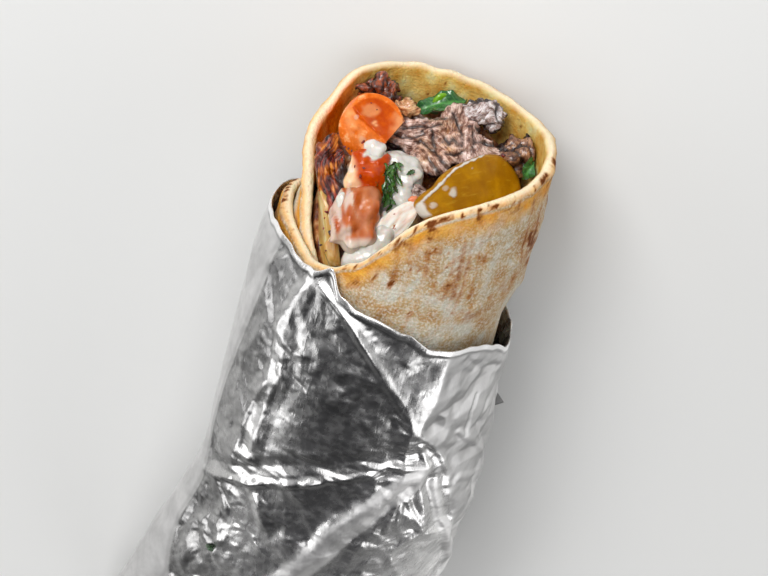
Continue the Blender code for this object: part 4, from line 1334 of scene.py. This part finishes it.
def make_parsley():
    """Sprig of parsley in the sauce and bits of it round about."""
    draw = np.random.default_rng(41)
    layout = []
    for _ in range(46):
        share = draw.uniform(0, 1)
        right = -8 - 1.6 * share + draw.normal(0, 0.9)
        up = 1.6 - 11 * share + draw.normal(0, 0.5)
        toward = 4.6 + draw.uniform(0, 1.2)
        layout.append((right, up, toward, 180 + draw.normal(0, 26), draw.uniform(1.8, 3.6)))
    for _ in range(12):
        right, up = -12 + draw.normal(0, 0.6), -5 + draw.normal(0, 2.4)
        layout.append((right, up, 5.4, 180 + draw.normal(0, 40), draw.uniform(1.2, 2.2)))
    bits = ((-8.2, -10.2, 130), (-9.4, -13.6, 190), (-11.4, -9.6, 150), (-2.6, -1.6, 120))
    layout.extend((right, up, 4.6, turn, 2.4) for right, up, turn in bits)
    parts, shades = [], []
    for right, up, toward, turn, length in layout:
        points, faces = blade(length, draw.uniform(0.55, 1.15), draw.uniform(-0.5, 1))
        place = laid(right, up, toward, turn=turn, lean=draw.normal(0, 18), swing=draw.normal(0, 25))
        parts.append((placed(place, points), faces))
        shades.append(np.full(len(points), draw.uniform(0, 1)))
    finish = green_finish("parsley", (24, 56, 16), (70, 118, 44))
    add_piece("parsley_sprig", *joined(parts), finish, "greens", shade=np.concatenate(shades))


def green_finish(name, dark, light, place=None):
    """Fresh green leaf with paler veins and a wet shine."""
    finish = Finish(name, dark, 0.25, scatter=(0.1, 1), coat=(0.7, 0.1))
    mottled = finish.noise((1.8, 0.8, 0.8), place)
    shade = finish.plus(finish.times(finish.values("shade"), 0.6), finish.times(mottled, 0.5))
    finish.set("Base Color", finish.ramp(shade, (0.25, dark), (0.8, light)))
    finish.bump(mottled, 0.3, 0.7)
    return finish


def make_leaves():
    """The onion strip, the pale leaf inside the flap and the two green leaves."""
    place = laid(-25.4, -15.4, 3.4, turn=97, swing=-30)
    points, faces = bent_sheet(20, 6, 2, curved_strip, 90, 36)
    points[:, 2] += 0.22 * noise_at(points / np.array((5, 1, 1)), 1, 401)
    add_piece("onion_slice", fitted(place, points), faces, onion_finish(place), "onion", "onion_strip")
    place = laid(-10.8, -17.8, 6.4, turn=42, lean=-8)
    points, faces = bent_sheet(23, 7, 1.1, limp_leaf, 90, 30)
    points[:, 2] += 0.25 * noise_at(points / np.array((3, 1.2, 1)), 1, 402)
    add_piece("lettuce_rib", fitted(place, points), faces, pale_finish(place), "pale_leaf", "pale_leaf")
    for name, node, place, length, width, seed in (
        ("leaf_back", "green_leaf_top", laid(4.6, 16.4, -15, turn=12, lean=30), 13, 6, 403),
        ("leaf_side", "green_leaf_side", laid(26.6, -0.2, -4.4, turn=60, swing=20), 7, 4, 404),
    ):
        points, faces = bent_sheet(length, width, 0.6, wavy_leaf, 70, 30)
        points[:, 2] += 0.3 * noise_at(points, 1.8, seed)
        ribs = np.sin(points[:, 0] * 1.6 + np.abs(points[:, 1]) * 1.2)
        vein = hill(points[:, 1] / 0.35) + 0.6 * hill(ribs / 0.18)
        finish = green_finish(name, (16, 66, 34), (92, 160, 80), place)
        shade = np.clip(0.25 + 0.6 * vein, 0, 1)
        add_piece(name, fitted(place, points), faces, finish, "greens", node, shade=shade)


def streaked(finish, streaks, mark, stops, marked):
    """The finish's colour in streaks along the piece, with marks on it."""
    finish.set("Base Color", finish.mix(mark, finish.ramp(streaks, *stops), marked))
    finish.bump(streaks, 0.25, 0.5)
    return finish


def onion_finish(place):
    """Clear pale onion with greenish streaks along it, stained red along one side."""
    finish = Finish("onion", (220, 194, 130), 0.22, scatter=(0.4, 2), coat=(0.5, 0.08))
    streaks = finish.noise((16, 1.3, 1.6), place, detail=3, rough=0.5)
    stain = finish.between(finish.noise((5, 1.6, 1.6), place, detail=3), 0.58, 0.74, 0, 0.6)
    stops = ((0.32, (172, 124, 56)), (0.5, (196, 156, 88)), (0.68, (216, 198, 150)))
    return streaked(finish, streaks, stain, stops, (168, 74, 36))


def pale_finish(place):
    """Pale leaf rib, pinkish under a film of sauce, with a brown mark or two."""
    finish = Finish("lettuce_rib", (240, 228, 216), 0.2, scatter=(0.2, 2), coat=(0.4, 0.1))
    streaks = finish.noise((8, 1.1, 1.1), place)
    mark = finish.between(finish.noise((2.6, 1.3, 1.3), place, detail=2), 0.66, 0.74)
    stops = ((0.3, (230, 196, 176)), (0.46, (238, 224, 212)), (0.6, (240, 236, 230)))
    return streaked(finish, streaks, mark, stops, (150, 90, 56))


def make_bits():
    """Small pieces: dark meat by the pickle, tomato under it, a green chip behind and a herb."""
    finish = meat_finish("beef_bit", (190, 170, 160), (110, 76, 62), (44, 24, 20))
    part = lump((3.4, 3, 2.4), 0.9, 1.4, 71, detail=4)
    bundles = ((-1.8, -6.9, -40, 0.1), (-0.6, -6, 10, 0.1))
    add_meat(finish, None, laid(-1.8, -6.9, 3.6), part, bundles, (), 270, 0.1)
    place = laid(-3.2, -8.7, 4.6, turn=20)
    points, faces = lump((2.6, 1.6, 1.4), 0.4, 1.2, 72, detail=3)
    finish = tomato_finish("tomato_bit", place, (240, 150, 110), (240, 150, 110))
    add_piece("tomato_bit", placed(place, points), faces, finish, "tomato", cut=0, pale=0, sauce=0)
    points, faces = bent_sheet(5.2, 1.4, 0.4, curved_strip, 24, 12)
    points = placed(laid(4.4, 18.9, -14.2, turn=25, lean=35), points)
    finish = green_finish("leaf_chip", (84, 150, 10), (140, 196, 40))
    add_piece("leaf_chip", points, faces, finish, "greens", shade=0.5)
    points, faces = bent_sheet(2.9, 1.3, 0.4, curved_strip, 24, 12)
    angle, x = on_roll([(-52.5, -95.1)])[0]
    place = laid(0, 0, 0, turn=-38)
    place.translation = Vector(roll_point(x, angle, -1.6))
    finish = green_finish("herb_bit", (16, 44, 14), (40, 86, 30))
    add_piece("herb_bit", placed(place, points), faces, finish, "greens", shade=0.3)


def make_specks():
    """Specks of dark red spice and pepper on the onion, the tomato and the bread behind."""
    spots = (
        (-24.4, -11.9, 5, 0.9), (-24.9, -13.4, 5, 0.5), (-25.2, -16, 5, 0.7),
        (-23.4, -17, 5.4, 1.5), (-22.8, -18.6, 5.2, 0.7), (-25.8, -20, 4.4, 0.8),
        (-24.6, -21.4, 4.4, 0.5), (-17.4, -0.8, 7.4, 0.6), (-16, -3.2, 7.3, 0.9), (-15.2, -1.2, 7.2, 0.7),
        (-20, 4.2, 4, 0.8), (-19, 3.8, 4.2, 0.6), (-18.2, 3.2, 4.2, 0.6), (19.2, 2.2, 3.4, 1.3),
        (-13.4, 15.2, 2.4, 0.5), (-12, 13.6, 2.4, 0.4), (-15.4, 5.4, 4.2, 0.9),
    )
    parts = []
    for number, (right, up, toward, size) in enumerate(spots):
        sizes = (size, 0.75 * size, 0.6 * size)
        points, faces = lump(sizes, 0.35 * size, 0.4 * size, 80 + number, detail=2)
        parts.append((placed(laid(right, up, toward, turn=37 * number), points), faces))
    finish = Finish("spice", (70, 16, 18), 0.35)
    finish.set("Base Color", finish.ramp(finish.noise(2), (0.4, (50, 14, 20)), (0.6, (128, 28, 20))))
    add_piece("spice_specks", *joined(parts), finish, "filling")


def make_filling():
    """Packed filling under the pieces: chopped meat and vegetables in sauce."""
    around, rows, bottom = 200, 60, -168
    angle = np.linspace(BREAD_INNER_END - 360, BREAD_INNER_END, around, endpoint=False)[None, :]
    at_mouth = roll_point(0 * angle, angle, room_inset(angle, 0 * angle))
    top = filling_top(at_mouth[..., 2])
    share = np.linspace(0, 1, rows)[:, None] ** 0.6
    x = bottom + (top - bottom) * share
    sides = roll_point(x, angle, room_inset(angle, bottom + 0 * angle) + 1)
    rim = sides[-1]
    middle = rim.mean(0)
    rings = [sides]
    for pull in np.linspace(0.97, 0.04, 40):
        ring = middle + (rim - middle) * pull
        ring[:, 0] = filling_top(ring[:, 2]) + 2 * (1 - pull)
        rings.append(ring[None])
    points = np.concatenate(rings)
    flat = points[rows:].reshape(-1, 3)
    lumps = 1.6 * noise_at(flat, 3.2, 501) + 0.6 * noise_at(flat, 1.3, 502)
    points[rows:, :, 0] += lumps.reshape(-1, around) - 0.6
    count = len(points)
    faces = grid_faces(count, around, True)
    for row in (0, count - 1):
        faces.append([row * around + i for i in range(around)])
    add_piece("packed_filling", points, faces, filling_finish(), "filling", "filling")


def filling_top(z):
    """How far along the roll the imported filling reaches, at a height."""
    return -13 - 0.6 * (z - MOUTH[2])


def filling_finish():
    """Brown meat with bits of red, cream and green in it, wet all over."""
    finish = Finish("filling", (120, 74, 46), 0.35, coat=(0.4, 0.15))
    bits = finish.noise(3, rough=0.6)
    browns = ((0.32, (60, 22, 12)), (0.45, (120, 62, 32)), (0.55, (176, 110, 60)), (0.68, (206, 170, 120)))
    green = finish.between(finish.noise(2.2, laid(5, 9, 0), detail=2), 0.66, 0.72)
    finish.set("Base Color", finish.mix(green, finish.ramp(bits, *browns), (70, 90, 30)))
    finish.bump(finish.noise(0.9, detail=5), 0.5, 0.7)
    return finish


# Scene


def make_floor():
    """Plain pale floor under the wrap."""
    bm = bmesh.new()
    bmesh.ops.create_grid(bm, x_segments=1, y_segments=1, size=2.5)
    mesh = bpy.data.meshes.new("floor")
    bm.to_mesh(mesh)
    bm.free()
    floor = bpy.data.objects.new("floor", mesh)
    mesh.materials.append(Finish("floor", (0.72, 0.72, 0.71, 1), 0.7).material)
    bpy.context.scene.collection.objects.link(floor)
    floor.location.z = -FLOOR_GAP


def add_light(name, spot, aim, size, watts):
    """Soft oblong light at a spot in metres, turned to its aim."""
    data = bpy.data.lights.new(name, "AREA")
    data.shape = "RECTANGLE"
    data.size, data.size_y = size
    data.energy = watts
    light = bpy.data.objects.new(name, data)
    bpy.context.scene.collection.objects.link(light)
    light.location = spot
    light.rotation_euler = (Vector(aim) - Vector(spot)).to_track_quat("-Z", "Y").to_euler()


def make_lights():
    """Soft lights from above, the front and the sides, and a darker sky behind the wrap."""
    add_light("key", (0.74, 0.34, 0.62), (0.05, 0, 0.03), (0.4, 0.4), 7)
    add_light("overhead", (0.15, 0, 1.2), (0, 0, 0), (0.9, 1.2), 5)
    add_light("right", (0, -1.1, 0.5), (0, 0, 0.03), (1.4, 0.6), 3)
    add_light("left", (0, 1.1, 0.45), (0, 0, 0.03), (1.4, 0.5), 3)
    add_light("low right", (-0.6, -0.75, 0.42), (0, 0, 0.03), (0.3, 0.5), 0.8)
    add_light("low left", (-0.6, 0.75, 0.42), (0, 0, 0.03), (0.3, 0.5), 0.8)
    world = bpy.data.worlds.new("studio")
    bpy.context.scene.world = world
    world.use_nodes = True
    tree = world.node_tree
    background = tree.nodes["Background"]
    coordinates = tree.nodes.new("ShaderNodeTexCoord")
    facing = tree.nodes.new("ShaderNodeVectorMath")
    facing.operation = "DOT_PRODUCT"
    facing.inputs[1].default_value = Vector((-0.62, 0, 0.78)).normalized()
    tree.links.new(coordinates.outputs["Generated"], facing.inputs[0])
    ramp = tree.nodes.new("ShaderNodeValToRGB")
    ramp.color_ramp.elements[0].position = 0.70
    ramp.color_ramp.elements[0].color = (0.50, 0.50, 0.50, 1)
    ramp.color_ramp.elements[1].position = 0.90
    ramp.color_ramp.elements[1].color = (0.10, 0.10, 0.105, 1)
    tree.links.new(facing.outputs["Value"], ramp.inputs[0])
    tree.links.new(ramp.outputs["Color"], background.inputs["Color"])
    background.inputs["Strength"].default_value = 0.6


def make_camera():
    """Camera over the mouth's end, at the height and tilt of the photograph."""
    data = bpy.data.cameras.new("camera")
    data.lens = LENS
    data.sensor_width = SENSOR
    data.sensor_fit = "HORIZONTAL"
    data.clip_end = 10
    camera = bpy.data.objects.new("camera", data)
    bpy.context.scene.collection.objects.link(camera)
    axes = Matrix((RIGHT, UP, TOWARD)).transposed().to_4x4()
    camera.matrix_world = Matrix.Translation(Vector(to_row(CAMERA))) @ axes
    bpy.context.scene.camera = camera


def main():
    """The whole scene, seen as in the photograph."""
    bpy.context.scene.view_settings.view_transform = "Standard"
    make_floor()
    make_lights()
    make_camera()
    make_foil()
    make_flatbread()
    make_filling()
    make_sauce()
    make_pickle()
    make_beef()
    make_shreds()
    make_tomato_wedge()
    make_tomato_dice()
    make_leaves()
    make_parsley()
    make_bits()
    make_specks()
    add_tab("foil_tab_left", -43.4, -24.2, 76, 4.6, 2.6)
    add_tab("foil_tab_right", 18.2, -59.4, -72, 5.4, 5.6)


main()
